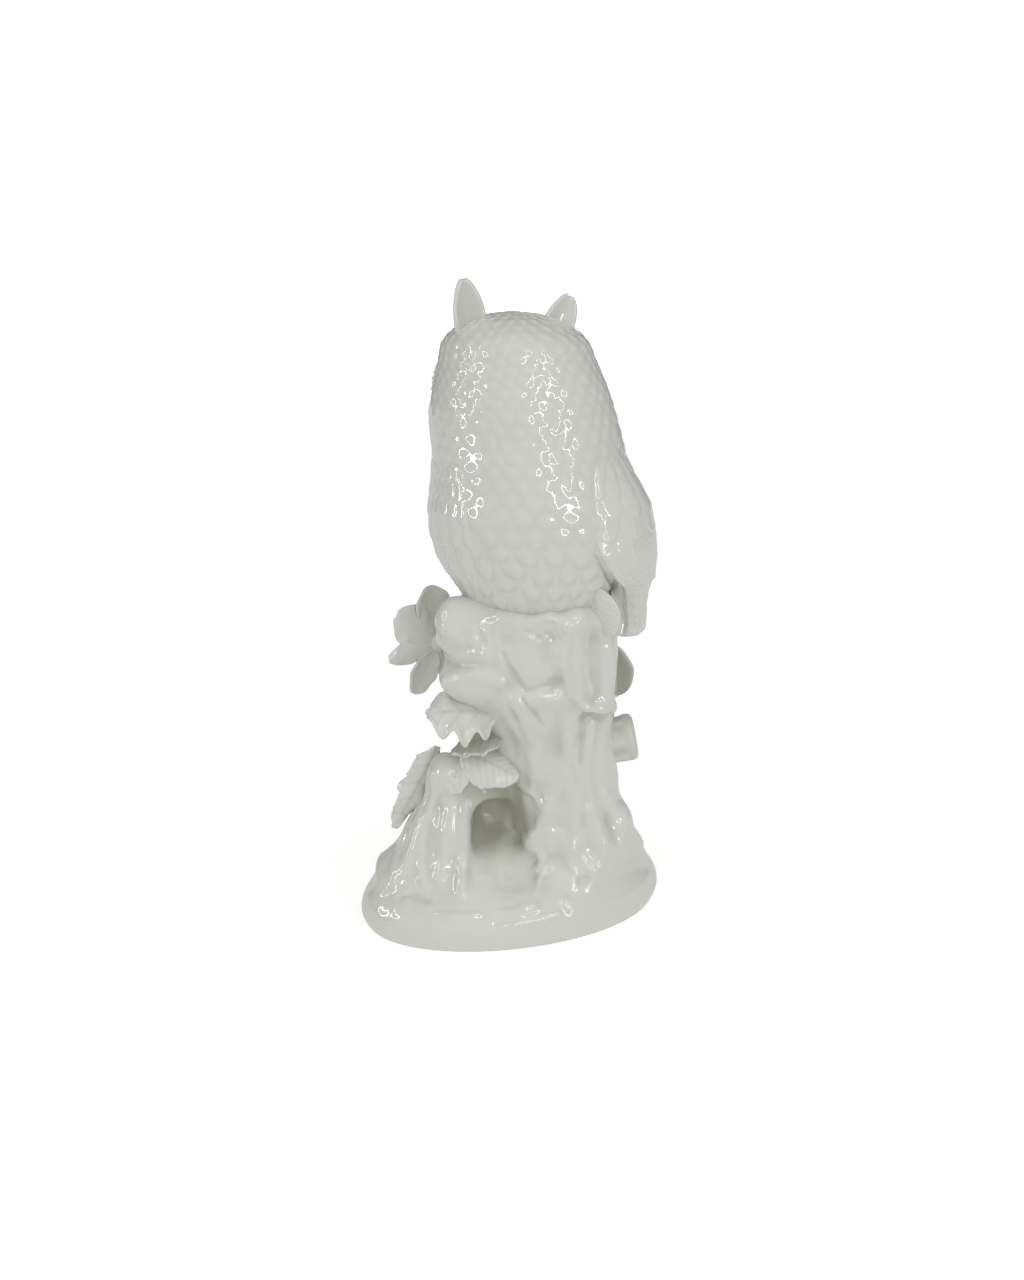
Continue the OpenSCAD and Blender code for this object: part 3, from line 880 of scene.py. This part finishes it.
def plate_frame(node, stem_near, straight=False):
    """Stem, directions and size of a CAD plate, found from its own vertices.

    stem_near is a point on the stem's side. straight takes the length's direction from there.
    """
    points = cad_points(node)
    mean = points.mean(0)
    centre = (points.min(0) + points.max(0)) / 2 if straight else mean
    axes = np.linalg.svd(points - mean, full_matrices=False)[2]
    length_way, normal = axes[0], axes[2]
    if straight:
        length_way = mean - stem_near
        length_way = length_way - normal * (length_way @ normal)
        length_way = length_way / np.linalg.norm(length_way)
    if (centre - stem_near) @ length_way < 0:
        length_way = -length_way
    side = np.cross(length_way, normal)
    local = points - mean
    run = local @ length_way
    return dict(stem=mean + length_way * run.min(), along=length_way, side=side, normal=normal,
                length=np.ptp(run), width=np.ptp(local @ side))


# Waves along each side of a ruffled leaf
RUFFLES = 3


def plate(node, material, stem_near, outline, outward=(0, 1, 0), straight=False, cup=0.0, bow=0.0,
          ruffle=0.0, veins=6, thick=1.7, fit=1.0, spread=1.0, curl=0.0, depth=0.5, shade=0.0):
    """A leaf, petal or ear tuft in the place of its CAD plate.

    outline gives the half width, as a share of the greatest, at shares s of the length.
    cup bends the sides towards outward, bow lifts the middle and curl bends the tip. ruffle waves
    the rim, depth is how deep the veins are cut, and shade paints shade into the glaze for a plate
    turned away from the light. fit and spread scale the length and width of the CAD plate.
    """
    f = plate_frame(node, np.asarray(stem_near, float), straight)
    normal, side = f["normal"], f["side"]
    if normal @ np.asarray(outward, float) < 0:
        normal, side = -normal, -side
    m, n = ((44, 90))
    t = np.linspace(-1, 1, m)[:, None]
    s = np.linspace(0, 1, n)[None, :]
    length = f["length"] * fit
    half = f["width"] / 2 * spread * np.maximum(outline(s), 0.035)
    body = half * t
    run = length * s + 0 * t
    bend = cup * t * t * (half / (f["width"] / 2)) + bow * 4 * s * (1 - s) + curl * s ** 3
    wave = ruffle * t * abs(t) * np.sin(2 * math.pi * (RUFFLES * s + 0.13 * np.sign(t)))
    rim = (1 - abs(t) ** 5) * smoothstep(s, -0.02, 0.05) * smoothstep(1 - s, -0.02, 0.04)
    thickness = thick * (0.42 + 0.58 * np.sqrt(np.clip(rim, 0, 1)))
    vein = np.zeros_like(body)
    if veins:
        midrib = 0.42 * bell(body, 0.75) * smoothstep(s, 0.99, 0.7)
        pitch = length / veins
        fans = (s * length - abs(body) * 0.8) / pitch
        side_vein = 0.30 * bell((fans - np.round(fans)) * pitch, 0.55) * smoothstep(abs(t), 1.0, 0.75)
        vein = -depth * (midrib + side_vein)
    mid = (f["stem"] + f["along"] * run[..., None] + side * body[..., None]
           + normal * (bend + wave)[..., None])
    up = grid_normals(mid, wrap=False)
    if np.sum(up * normal) < 0:
        up = -up
    top = mid + up * (thickness / 2 + vein)[..., None]
    bottom = mid + up * (-thickness / 2 + 0.5 * vein)[..., None]
    if np.cross(side, f["along"]) @ normal <= 0:
        top, bottom, vein = top[::-1], bottom[::-1], vein[::-1]
    # painted shade on plates turned away from the light, lighter at the rim; veins darker with pooled glaze
    # and painted shade
    pool_and_shade = np.clip(-vein * 1.2 + shade * (1 - 0.7 * abs(t) ** 8), 0, 1)
    add_piece(node, closed_sheet(top, bottom), material, pool_and_shade=pool_and_shade)


def oval_outline(full=0.8, blunt=0.8):
    """A smooth leaf; full below 1 puts its widest place near the stem."""
    return lambda s: np.sin(math.pi * np.clip(0.02 + 0.965 * s, 0, 1) ** full) ** blunt


def toothed_outline(teeth, depth, full=0.85, blunt=0.75):
    """A leaf with teeth that point forward."""
    smooth = oval_outline(full, blunt)
    return lambda s: smooth(s) * (1 - depth + depth * ((s * teeth) % 1.0) ** 0.7)


def lobed_outline(lobes, depth, full=0.9, blunt=0.6):
    """A leaf with deep round bays between pointed lobes."""
    smooth = oval_outline(full, blunt)
    return lambda s: smooth(s) * (1 - depth * abs(np.cos(math.pi * lobes * s)) ** 2.6)


# ---- turned and lofted small parts ----

def turned_shape(outline, origin, way, detail=None, around=96, along=120):
    """A closed turned solid and its relief. outline is [radius, height] along way.

    detail(angle, s, radius) gives the relief at share s of the outline.
    """
    outline = np.asarray(outline, float)
    run = np.concatenate([[0], np.cumsum(np.hypot(*np.diff(outline, axis=0).T))])
    at = np.linspace(0, run[-1], along)
    step = run[-1] / along
    radius = softened(np.interp(at, run, outline[:, 0]), 0.35 / step)
    height = softened(np.interp(at, run, outline[:, 1]), 0.35 / step)
    radius = np.maximum(radius, 0.02)
    angle = np.linspace(0, 2 * math.pi, around, endpoint=False)[:, None]
    way = np.asarray(way, float) / np.linalg.norm(way)
    u = np.cross([0, 0, 1.0], way)
    u = np.array([1.0, 0, 0]) if np.linalg.norm(u) < 0.05 else u / np.linalg.norm(u)
    v = np.cross(way, u)
    s = at[None, :] / run[-1]
    lift = detail(angle, s, radius[None, :]) if detail else 0 * angle * s
    rise, spread = np.gradient(height), np.gradient(radius)
    size = np.maximum(np.hypot(rise, spread), 1e-6)
    r = np.maximum(radius[None, :] + lift * (rise / size), 0.01)
    h = height[None, :] - lift * (spread / size)
    points = (np.asarray(origin, float) + (r * np.cos(angle))[..., None] * u
              + (r * np.sin(angle))[..., None] * v + h[..., None] * way)
    return closed_loft(points), lift


def tube_shape(line, around=40, along=90, detail=None):
    """A closed tube through points [x, y, z, radius] on a smooth line."""
    line = np.asarray(line, float)
    run = np.concatenate([[0], np.cumsum(np.linalg.norm(np.diff(line[:, :3], axis=0), axis=1))])
    at = np.linspace(0, run[-1], along)
    step = run[-1] / along
    smooth = np.stack([softened(np.interp(at, run, c), 0.9 / step) for c in line.T], 1)
    centre, radius = smooth[:, :3], np.maximum(smooth[:, 3], 0.05)
    way = np.gradient(centre, axis=0)
    way = way / np.linalg.norm(way, axis=1, keepdims=True)
    side = np.cross(way, [0.2, 0.1, 1.0])
    side = side / np.linalg.norm(side, axis=1, keepdims=True)
    up = np.cross(side, way)
    angle = np.linspace(0, 2 * math.pi, around, endpoint=False)[:, None]
    s = np.linspace(0, 1, along)[None, :]
    # round ends
    from_end = np.minimum(s, 1 - s) * run[-1] / np.maximum(radius, 0.3)
    cap = np.sqrt(np.clip(1 - (1 - from_end).clip(0, 1) ** 2, 0, 1))
    r = radius[None, :] * np.maximum(cap, 0.03) + (detail(angle, s) if detail else 0)
    across = (r * np.cos(angle))[..., None] * side[None]
    return closed_loft(centre[None] + across + (r * np.sin(angle))[..., None] * up[None])


# ---- materials ----

def set_inputs(tree, node, inputs):
    """Gives a node's inputs, by name, their values or the outputs that feed them."""
    for name, value in inputs.items():
        if isinstance(value, bpy.types.NodeSocket):
            tree.links.new(value, node.inputs[name])
        else:
            node.inputs[name].default_value = value


def add_node(tree, kind, inputs):
    """A new shader node; a Mix node mixes colours."""
    node = tree.nodes.new("ShaderNode" + kind)
    if kind == "Mix":
        node.data_type = "RGBA"
    set_inputs(tree, node, inputs)
    return node


def new_shader(name, inputs):
    """A material, its node tree and its Principled node, with some of its inputs set."""
    shader = bpy.data.materials.new(name)
    shader.use_nodes = True
    tree = shader.node_tree
    skin = tree.nodes["Principled BSDF"]
    set_inputs(tree, skin, inputs)
    return shader, tree, skin


def glaze(name, slot, tint, pool_and_shade_tint):
    """Clear gloss glaze over white porcelain; it is darker and yellower where it pooled, and darker still
    where shade is painted into hollows, creases and plates turned from the light.
    """
    shader, tree, skin = new_shader(name, {"Roughness": 0.07, "IOR": 1.5, "Coat Weight": 0.6,
                                           "Coat Roughness": 0.03, "Coat IOR": 1.5})
    where = add_node(tree, "TexCoord", {}).outputs["Object"]
    pool_and_shade_attr = tree.nodes.new("ShaderNodeAttribute")
    pool_and_shade_attr.attribute_name = "pool_and_shade"
    # uneven firing: a slight drift of the white, a few centimetres across
    cloud = add_node(tree, "TexNoise", {"Scale": 38, "Detail": 3, "Vector": where})
    drifted = (tint[0] * 0.975, tint[1] * 0.985, tint[2] * 0.965, 1)
    drift = add_node(tree, "Mix", {"A": (*tint, 1), "B": drifted, "Factor": cloud.outputs["Fac"]})
    # the second, darker colour is partly pooled glaze and partly painted shade
    pool_and_shade = add_node(tree, "Mix", {"A": drift.outputs["Result"], "B": (*pool_and_shade_tint, 1),
                                    "Factor": pool_and_shade_attr.outputs["Fac"]})
    # pin holes and specks of kiln dust
    specks = add_node(tree, "TexVoronoi", {"Scale": 260, "Vector": where})
    speck = add_node(tree, "MapRange", {"From Min": 0.02, "From Max": 0.05, "To Min": 0.25, "To Max": 0,
                                        "Value": specks.outputs["Distance"]})
    dusted = add_node(tree, "Mix", {"A": pool_and_shade.outputs["Result"], "B": (0.42, 0.38, 0.30, 1),
                                    "Factor": speck.outputs["Result"]})
    # orange peel: very shallow waves in the glaze
    peel = add_node(tree, "TexNoise", {"Scale": 420, "Detail": 1, "Vector": where})
    bump = add_node(tree, "Bump", {"Strength": 0.10, "Distance": 0.00022, "Height": peel.outputs["Fac"]})
    set_inputs(tree, skin, {"Base Color": dusted.outputs["Result"], "Normal": bump.outputs["Normal"],
                            "Coat Normal": bump.outputs["Normal"]})
    return dict(shader=shader, slot=slot)


def bisque(name, slot):
    """Unglazed matt porcelain with a fine sandy grain."""
    shader, tree, skin = new_shader(name, {"Roughness": 0.85})
    where = add_node(tree, "TexCoord", {}).outputs["Object"]
    grain = add_node(tree, "TexNoise", {"Scale": 900, "Detail": 6, "Vector": where}).outputs["Fac"]
    shade = add_node(tree, "Mix", {"A": (0.70, 0.68, 0.62, 1), "B": (0.80, 0.79, 0.74, 1), "Factor": grain})
    bump = add_node(tree, "Bump", {"Strength": 0.4, "Distance": 0.0002, "Height": grain})
    set_inputs(tree, skin, {"Base Color": shade.outputs["Result"], "Normal": bump.outputs["Normal"]})
    return dict(shader=shader, slot=slot)


# Each glaze's darker second colour stands for pooled glaze and for painted shade in hollows
OWL = glaze("owl_glaze", "owl_glaze", (0.80, 0.80, 0.77), (0.64, 0.64, 0.57))
BARK = glaze("bark_glaze", "bark_glaze", (0.79, 0.80, 0.76), (0.47, 0.47, 0.39))
GROUND = glaze("base_glaze", "base_glaze", (0.79, 0.80, 0.76), (0.58, 0.58, 0.50))
LEAF = glaze("leaf_glaze", "leaf_glaze", (0.80, 0.81, 0.775), (0.34, 0.35, 0.28))
FLOOR = bisque("bisque_floor", "bisque_floor")


# ---- the object ----

def make_clay():
    clay, trunk, root = sculpt()
    for name, field, shape in fired_pieces(clay, trunk, root):
        pool_and_shade = shade_and_pool_in_hollows(clay, field, shape[0])
        add_piece(name, shape, GROUND if name == "base_mound" else BARK, pool_and_shade=pool_and_shade)


def make_floor():
    """The bisque floor inside the foot rim, dished, with its vent."""
    angle = np.linspace(0, 2 * math.pi, 160, endpoint=False)[:, None]
    low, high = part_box("floor_plate")
    play = 0.15
    half_w = (high.x - low.x) / 2 / MM - play
    half_d = (high.y - low.y) / 2 / MM - play
    vent = 5.0
    rings = []
    # [share of the way out, height]: up the vent, over the top, down the rim and back below
    section = [[0, 2.6], [0, 4.6], [0.02, 4.95], [0.5, 4.7], [0.98, 4.95], [1, 4.7], [1, 2.4],
               [0.98, 2.1], [0.5, 2.5], [0.02, 2.2]]
    for share, z in section:
        x = (vent + (half_w - vent) * share) * np.cos(angle)
        y = (vent + (half_d - vent) * share) * np.sin(angle)
        rings.append(np.concatenate([x, y, z + 0 * x], 1))
    grid = np.stack(rings, 1)
    m, n = grid.shape[:2]
    faces = grid_faces(m, n, wrap=True)
    i = np.arange(m)
    k = (i + 1) % m
    close = np.stack([i * n + n - 1, k * n + n - 1, k * n, i * n], 1)
    points = to_layout(grid.reshape(-1, 3) * MM)
    add_piece("floor_plate", (points, [faces[:, ::-1], close[:, ::-1]]), FLOOR)


def make_branch():
    """The sawn branch: barky sides and a dished end with rings."""
    points = cad_points("branch_stub")
    centre = points.mean(0)
    turn, rise = math.radians(92), math.radians(10)
    way = np.array([-math.sin(turn) * math.cos(rise), math.cos(turn) * math.cos(rise), math.sin(rise)])
    run = (points - centre) @ way
    start = centre + way * run.min()
    length = run.max() - run.min()
    outline = [[0, 0], [9.4, 0], [8.9, 3], [8.4, 7], [8.2, 10], [8.5, 13], [8.6, 15], [8.0, 16.2],
               [6.6, 16.6], [4.6, 15.6], [0, 14.8]]
    outline = np.array(outline) * [1.1, length / 15.0]

    def detail(angle, s, radius):
        side = smoothstep(s, 0.28, 0.36) * smoothstep(s, 0.68, 0.62)
        end = smoothstep(s, 0.74, 0.80)
        ridges = 0.25 * np.sin(4 * angle + 2 * np.sin(3 * angle)) + 0.1 * np.sin(9 * angle + 9 * s)
        growth = 0.16 * np.sin(radius * 4.2 + 0.6 * np.sin(2 * angle))
        return side * ridges + end * growth

    shape, lift = turned_shape(outline, start, way, detail)
    # painted shade over the whole stub, more in its grooves, where glaze also pools
    add_piece("branch_stub", shape, BARK, pool_and_shade=np.clip(0.3 - lift * 1.2, 0, 1))


def make_owl():
    surface, pool_and_shade = owl_surface()
    # one more ring inside the lowest one closes the seat
    lowest = surface[:, :1]
    seat = lowest[:, 0].mean(0)
    inner = seat + (lowest - seat) * 0.55
    shape = closed_loft(np.concatenate([inner, surface], 1))
    pool_and_shade = np.concatenate([0 * pool_and_shade[:, :1], pool_and_shade], 1)
    add_piece("owl_body", shape, OWL, pool_and_shade=pool_and_shade)
    wing("wing_right", 1, [110, 137, 157, 165.5, 172.5, 179, 185, 191],
         [4, 4, 5, 6, 7, 8, 9, 9], OWL)
    wing("wing_left", -1, [121, 140, 154, 163, 171, 178, 184.5, 191],
         [6, 7, 8, 10, 11, 12, 12, 12], OWL, step=0.0)
    plate("tail", OWL, (-28, 24, 140), oval_outline(1.0, 0.55), outward=(-0.4, 1, 0.2), cup=-2.6, bow=1.6,
          veins=8, thick=1.6, spread=1.1, depth=0.45)


def make_ears():
    head = np.array([-1.0, -1.0, 222.0])
    forward = (-FACE_WAY[0], -FACE_WAY[1], 0)
    # the left tuft gets painted shade, as it faces away from the light
    plate("ear_left", OWL, head + [17, 4, 5], oval_outline(0.72, 0.5), outward=forward, cup=4.6, bow=-0.6,
          veins=0, thick=2.4, spread=0.86, fit=0.965, shade=0.35)
    plate("ear_right", OWL, head + [-11, -6, 3], oval_outline(0.74, 0.46), outward=forward, cup=3.6, bow=-0.6,
          veins=0, thick=2.2)


def make_face():
    """Discs with radial barbs, domed eyes and a hooked beak, as on an ordinary owl."""
    for side, hand in ((1, "left"), (-1, "right")):
        disc = cad_points("face_disc_" + hand)
        eye = cad_points("eye_" + hand)
        toward = LAYOUT_TURN + math.radians(side * 24)
        way = np.array([math.sin(toward), -math.cos(toward), 0])
        centre = disc.mean(0)
        centre = centre - way * ((centre - disc) @ way).max()
        outline = [[0, 0], [14, 0], [15, 2.4], [14.9, 3.6], [13.9, 4.25], [12.6, 4.0], [9, 3.3],
                   [6, 3.0], [0, 3.0]]

        def barbed(angle, s, radius, side=side):
            field = smoothstep(radius, 5.6, 7.0) * smoothstep(s, 0.42, 0.47)
            lines = 0.26 * np.cos(44 * angle + 0.5 * radius * side)
            scallops = 0.3 * abs(np.cos(13 * angle)) * bell(radius - 14.2, 1.1)
            return field * (lines + scallops)

        shape, lift = turned_shape(outline, centre, way, barbed, around=264, along=90)
        # pooled glaze and painted shade in the grooves between the barbs
        add_piece("face_disc_" + hand, shape, OWL, pool_and_shade=np.clip(-lift * 2.2, 0, 1))
        start = eye.mean(0) - way * ((eye.mean(0) - eye) @ way).max()
        ball = [[0, 0], [5.9, 0], [5.95, 1.2], [5.2, 1.9], [4.7, 2.2], [4.3, 3.2], [3.2, 4.1],
                [1.6, 4.5], [0, 4.55]]

        def pupil(angle, s, radius):
            return -0.35 * bell(radius - 2.4, 0.3) * smoothstep(s, 0.6, 0.7) + 0 * angle

        shape, lift = turned_shape(ball, start, way, pupil, around=96, along=110)
        # pooled glaze and painted shade in the pupil's dimple
        add_piece("eye_" + hand, shape, OWL, pool_and_shade=np.clip(-lift * 2.5, 0, 1))
    beak = cad_points("beak")
    low, high = beak[:, 2].min(), beak[:, 2].max()
    middle = beak.mean(0)
    out = (beak - middle) @ FACE_WAY
    # [share of the height, share of the reach, radius]
    hook = [[1, -0.9, 1.8], [0.86, -0.2, 3.2], [0.62, 0.25, 4.0], [0.4, 0.42, 3.5], [0.2, 0.35, 2.4],
            [0.03, 0.0, 1.0]]
    line = [[*(middle + FACE_WAY * reach * out.max())[:2], low + (high - low) * up, r]
            for up, reach, r in hook]

    def nostrils(angle, s):
        return -0.35 * bell(s - 0.2, 0.05) * np.maximum(abs(np.sin(angle)) - 0.6, 0) * 2

    add_piece("beak", tube_shape(line, detail=nostrils), OWL)


# A toe and its claw: [way out, drop, radius]
TOE = [[0, 0, 2.4], [4, 0.2, 3.1], [8, 1.6, 2.9], [11.5, 4.4, 2.7], [13.4, 7.4, 1.9],
       [14.0, 9.6, 1.1], [13.4, 11.2, 0.5]]


def scutes(angle, s):
    """Rings of scutes along a toe, and the groove behind its claw."""
    rings = 0.2 * abs(np.sin(9 * math.pi * s)) * smoothstep(s, 0.78, 0.70)
    return rings - 0.25 * bell(s - 0.76, 0.02)


def make_feet():
    """Three toes a foot, ringed with scutes, with claws that hook over the rim."""
    for name in ("foot_left", "foot_right"):
        points = cad_points(name)
        low, high = points.min(0), points.max(0)
        middle = (low[0] + high[0]) / 2
        toes = []
        for spread in (-26, 0, 26):
            a = math.radians(spread)
            ahead = np.array([math.sin(a), -math.cos(a), 0])
            start = np.array([middle + spread * 0.16, high[1] - 3.2, high[2] - 3.0])
            line = [[*(start + ahead * reach * 1.02)[:2], start[2] - drop * 0.75, r]
                    for reach, drop, r in TOE]
            toes.append(tube_shape(line, around=32, along=100, detail=scutes))
        add_piece(name, joined(*toes), OWL)


def make_flower():
    hub = cad_points("flower_centre")
    centre = (hub.min(0) + hub.max(0)) / 2
    a = math.radians(40)
    way = np.array([math.sin(a), -math.cos(a), 0])
    base = centre - way * 5.0
    knob = [[0, 0], [2.2, 0], [2.5, 4.2], [3.9, 5.2], [4.3, 7.0], [3.6, 8.6], [1.6, 9.6], [0, 9.8]]

    def seeds(angle, s, radius):
        head = smoothstep(s, 0.5, 0.6)
        return head * 0.35 * np.sin(11 * angle) * np.sin(52 * s) * smoothstep(radius, 0.4, 1.6)

    shape, lift = turned_shape(knob, base, way, seeds, around=120, along=130)
    # pooled glaze and painted shade between the seeds
    add_piece("flower_centre", shape, LEAF, pool_and_shade=np.clip(-lift * 2, 0, 1))
    # [number, width, cup, shade]; a negative cup is hollow towards the back, and shade is painted shade on
    # petals turned away from the light
    for number, wide, cup, shade in ((1, 1.05, -3.0, 1.0), (2, 0.92, 2.6, 0.0), (3, 0.70, 1.4, 0.15),
                                     (4, 0.85, -3.0, 1.0), (5, 1.0, 2.0, 0.1), (6, 1.0, 2.0, 0.1)):
        plate(f"petal_{number}", LEAF, base, oval_outline(1.1, 0.6), outward=way, straight=True, cup=cup,
              bow=-0.5 * cup, ruffle=0.4, veins=2, thick=1.5, curl=-1.0, spread=wide, shade=shade)


def make_leaves():
    plate("leaf_lobed", LEAF, (4, 16, 85), lobed_outline(3, 0.28), outward=(0, 0.4, 1), cup=-1.6, bow=2.6,
          ruffle=2.4, veins=4, spread=1.35, depth=0.4)
    # painted shade on the leaf that lies under the lobed one
    plate("leaf_under", LEAF, (2, 14, 77), toothed_outline(6, 0.10), outward=(0, 0.4, 1), cup=-1.6, bow=1.6,
          ruffle=0.6, veins=6, shade=0.6, depth=0.3)
    plate("leaf_root", LEAF, (21, 13, 71), toothed_outline(7, 0.06), outward=(0, 0.6, 1), cup=-3.0, bow=1.8,
          ruffle=0.6, veins=8, spread=1.4, fit=1.1, depth=0.32)
    plate("leaf_root_low", LEAF, (14, 18, 68), toothed_outline(6, 0.06), outward=(0, 0.6, 1), cup=-2.0,
          bow=1.4, ruffle=0.6, veins=7, spread=1.3, fit=1.15, depth=0.32)
    plate("leaf_side", LEAF, (27, 8, 73), toothed_outline(5, 0.18), outward=(0.8, 0.6, 0.3), cup=-3.4,
          bow=1.4, ruffle=1.6, veins=5, spread=0.62)
    # painted shade on the hollow leaf behind, which faces away from the light
    plate("leaf_right", LEAF, (-33, -6, 115), oval_outline(1.5, 0.55), outward=(-1, 0.3, 0), cup=3.0, bow=1.8,
          ruffle=0.3, veins=0, spread=0.9, shade=0.9)
    for name, stem_near in (("leaf_front_upper", (17, -16, 105)), ("leaf_front_lower", (-7, -13, 64))):
        plate(name, LEAF, stem_near, toothed_outline(6, 0.2), outward=(0.2, -1, 0.3), cup=-1.8,
              bow=2.6, ruffle=0.8, veins=6)


# ---- stage ----

CAMERA_AT = (0.22476, 0.5563, 0.280)
CAMERA_AIM = (0.0, 0.0, 0.1126)
SENSOR_MM = 36.0
LENS_MM = 44.85
# Brightness of the room away from the main light and straight at it
SKY_FILL = 0.26
SKY_KEY = 0.93


def aimed(obj, at, to):
    """Puts obj at a place, with its -Z towards another."""
    obj.location = at
    obj.rotation_euler = (Vector(to) - Vector(at)).to_track_quat("-Z", "Y").to_euler()
    return obj


def plain_shader(name, color, glow):
    """A matt colour that also gives off white light."""
    return new_shader(name, {"Base Color": (*color, 1), "Roughness": 1.0, "Specular IOR Level": 0.0,
                             "Emission Color": (1, 1, 1, 1), "Emission Strength": glow})[0]


def stage_disc(name, radius, at, shader, hole=0.0, to=None):
    """A flat disc or ring for the stage."""
    count = 128
    angle = np.linspace(0, 2 * math.pi, count, endpoint=False)
    ring = np.stack([np.cos(angle), np.sin(angle), 0 * angle], 1)
    points = np.concatenate([ring * radius, ring * max(hole, 1e-4)])
    i = np.arange(count)
    k = (i + 1) % count
    mesh = bpy.data.meshes.new(name)
    mesh.from_pydata(points.tolist(), [], np.stack([i, k, k + count, i + count], 1).tolist())
    disc = bpy.data.objects.new(name, mesh)
    bpy.context.scene.collection.objects.link(disc)
    mesh.materials.append(shader)
    disc.location = at
    if to is not None:
        aimed(disc, at, to)
    return disc


def area_light(name, at, to, size, power, color=(1, 1, 1)):
    data = bpy.data.lights.new(name, "AREA")
    data.shape = "SQUARE"
    data.size = size
    data.energy = power
    data.color = color
    light = bpy.data.objects.new(name, data)
    bpy.context.scene.collection.objects.link(light)
    return aimed(light, at, to)


def hide_from(obj, *rays):
    """Leaves obj out of what some kinds of ray see."""
    for ray in rays:
        setattr(obj, "visible_" + ray, False)


def around_camera(turn, distance, height):
    """A place turned by an angle from the camera's bearing, clockwise from above."""
    a = math.atan2(CAMERA_AT[1], CAMERA_AT[0]) - math.radians(turn)
    return (distance * math.cos(a), distance * math.sin(a), height)


def make_stage():
    scene = bpy.context.scene
    world = bpy.data.worlds.new("studio")
    world.use_nodes = True
    # a wide soft light on the camera's side of the room, over an even fill
    room = world.node_tree
    way = room.nodes.new("ShaderNodeTexCoord")
    towards = room.nodes.new("ShaderNodeVectorMath")
    towards.operation = "DOT_PRODUCT"
    towards.inputs[1].default_value = Vector(around_camera(-8, 0.82, 0.57)).normalized()
    room.links.new(way.outputs["Generated"], towards.inputs[0])
    level = add_node(room, "MapRange", {"From Min": -0.1, "To Min": SKY_FILL, "To Max": SKY_KEY,
                                        "Value": towards.outputs["Value"]})
    set_inputs(room, room.nodes["Background"], {"Color": (1.0, 1.0, 0.99, 1),
                                                "Strength": level.outputs["Result"]})
    scene.world = world
    scene.view_settings.view_transform = "Standard"
    # the camera sees a pale floor; a greyer one below it sends light back up
    paper = plain_shader("paper", (0.90, 0.90, 0.90), glow=0.52)
    card = plain_shader("card", (0.75, 0.75, 0.74), glow=0.22)
    hide_from(stage_disc("floor", 2.6, (0, 0, -0.0002), paper), "diffuse", "glossy", "shadow")
    hide_from(stage_disc("floor_bounce", 2.6, (0, 0, -0.0004), card), "camera")
    glow = plain_shader("lamp", (1, 1, 1), glow=11.0)
    target = (0, 0, 0.18)
    for name, turn in (("ring_left", -34), ("ring_right", 70)):
        ring = stage_disc(name, 0.26, around_camera(turn, 0.85, 0.40), glow, hole=0.232, to=target)
        # only their reflections are wanted
        hide_from(ring, "camera", "diffuse", "shadow")
    area_light("top", around_camera(-20, 0.7, 1.3), (0, 0, 0.1), 0.9, 0.5, (1, 0.99, 0.96))
    backdrop = plain_shader("backdrop", (1, 1, 1), glow=1.6)
    wall = stage_disc("backdrop", 2.2, (0, 0, 0), backdrop)
    aimed(wall, around_camera(180, 2.2, 0.2), CAMERA_AT)
    hide_from(wall, "diffuse", "glossy", "shadow", "transmission")
    data = bpy.data.cameras.new("camera")
    data.sensor_width = SENSOR_MM
    data.lens = LENS_MM
    data.sensor_fit = "AUTO"
    camera = bpy.data.objects.new("camera", data)
    scene.collection.objects.link(camera)
    aimed(camera, CAMERA_AT, CAMERA_AIM)
    scene.camera = camera


make_clay()
make_floor()
make_branch()
make_owl()
make_ears()
make_face()
make_feet()
make_flower()
make_leaves()
make_stage()
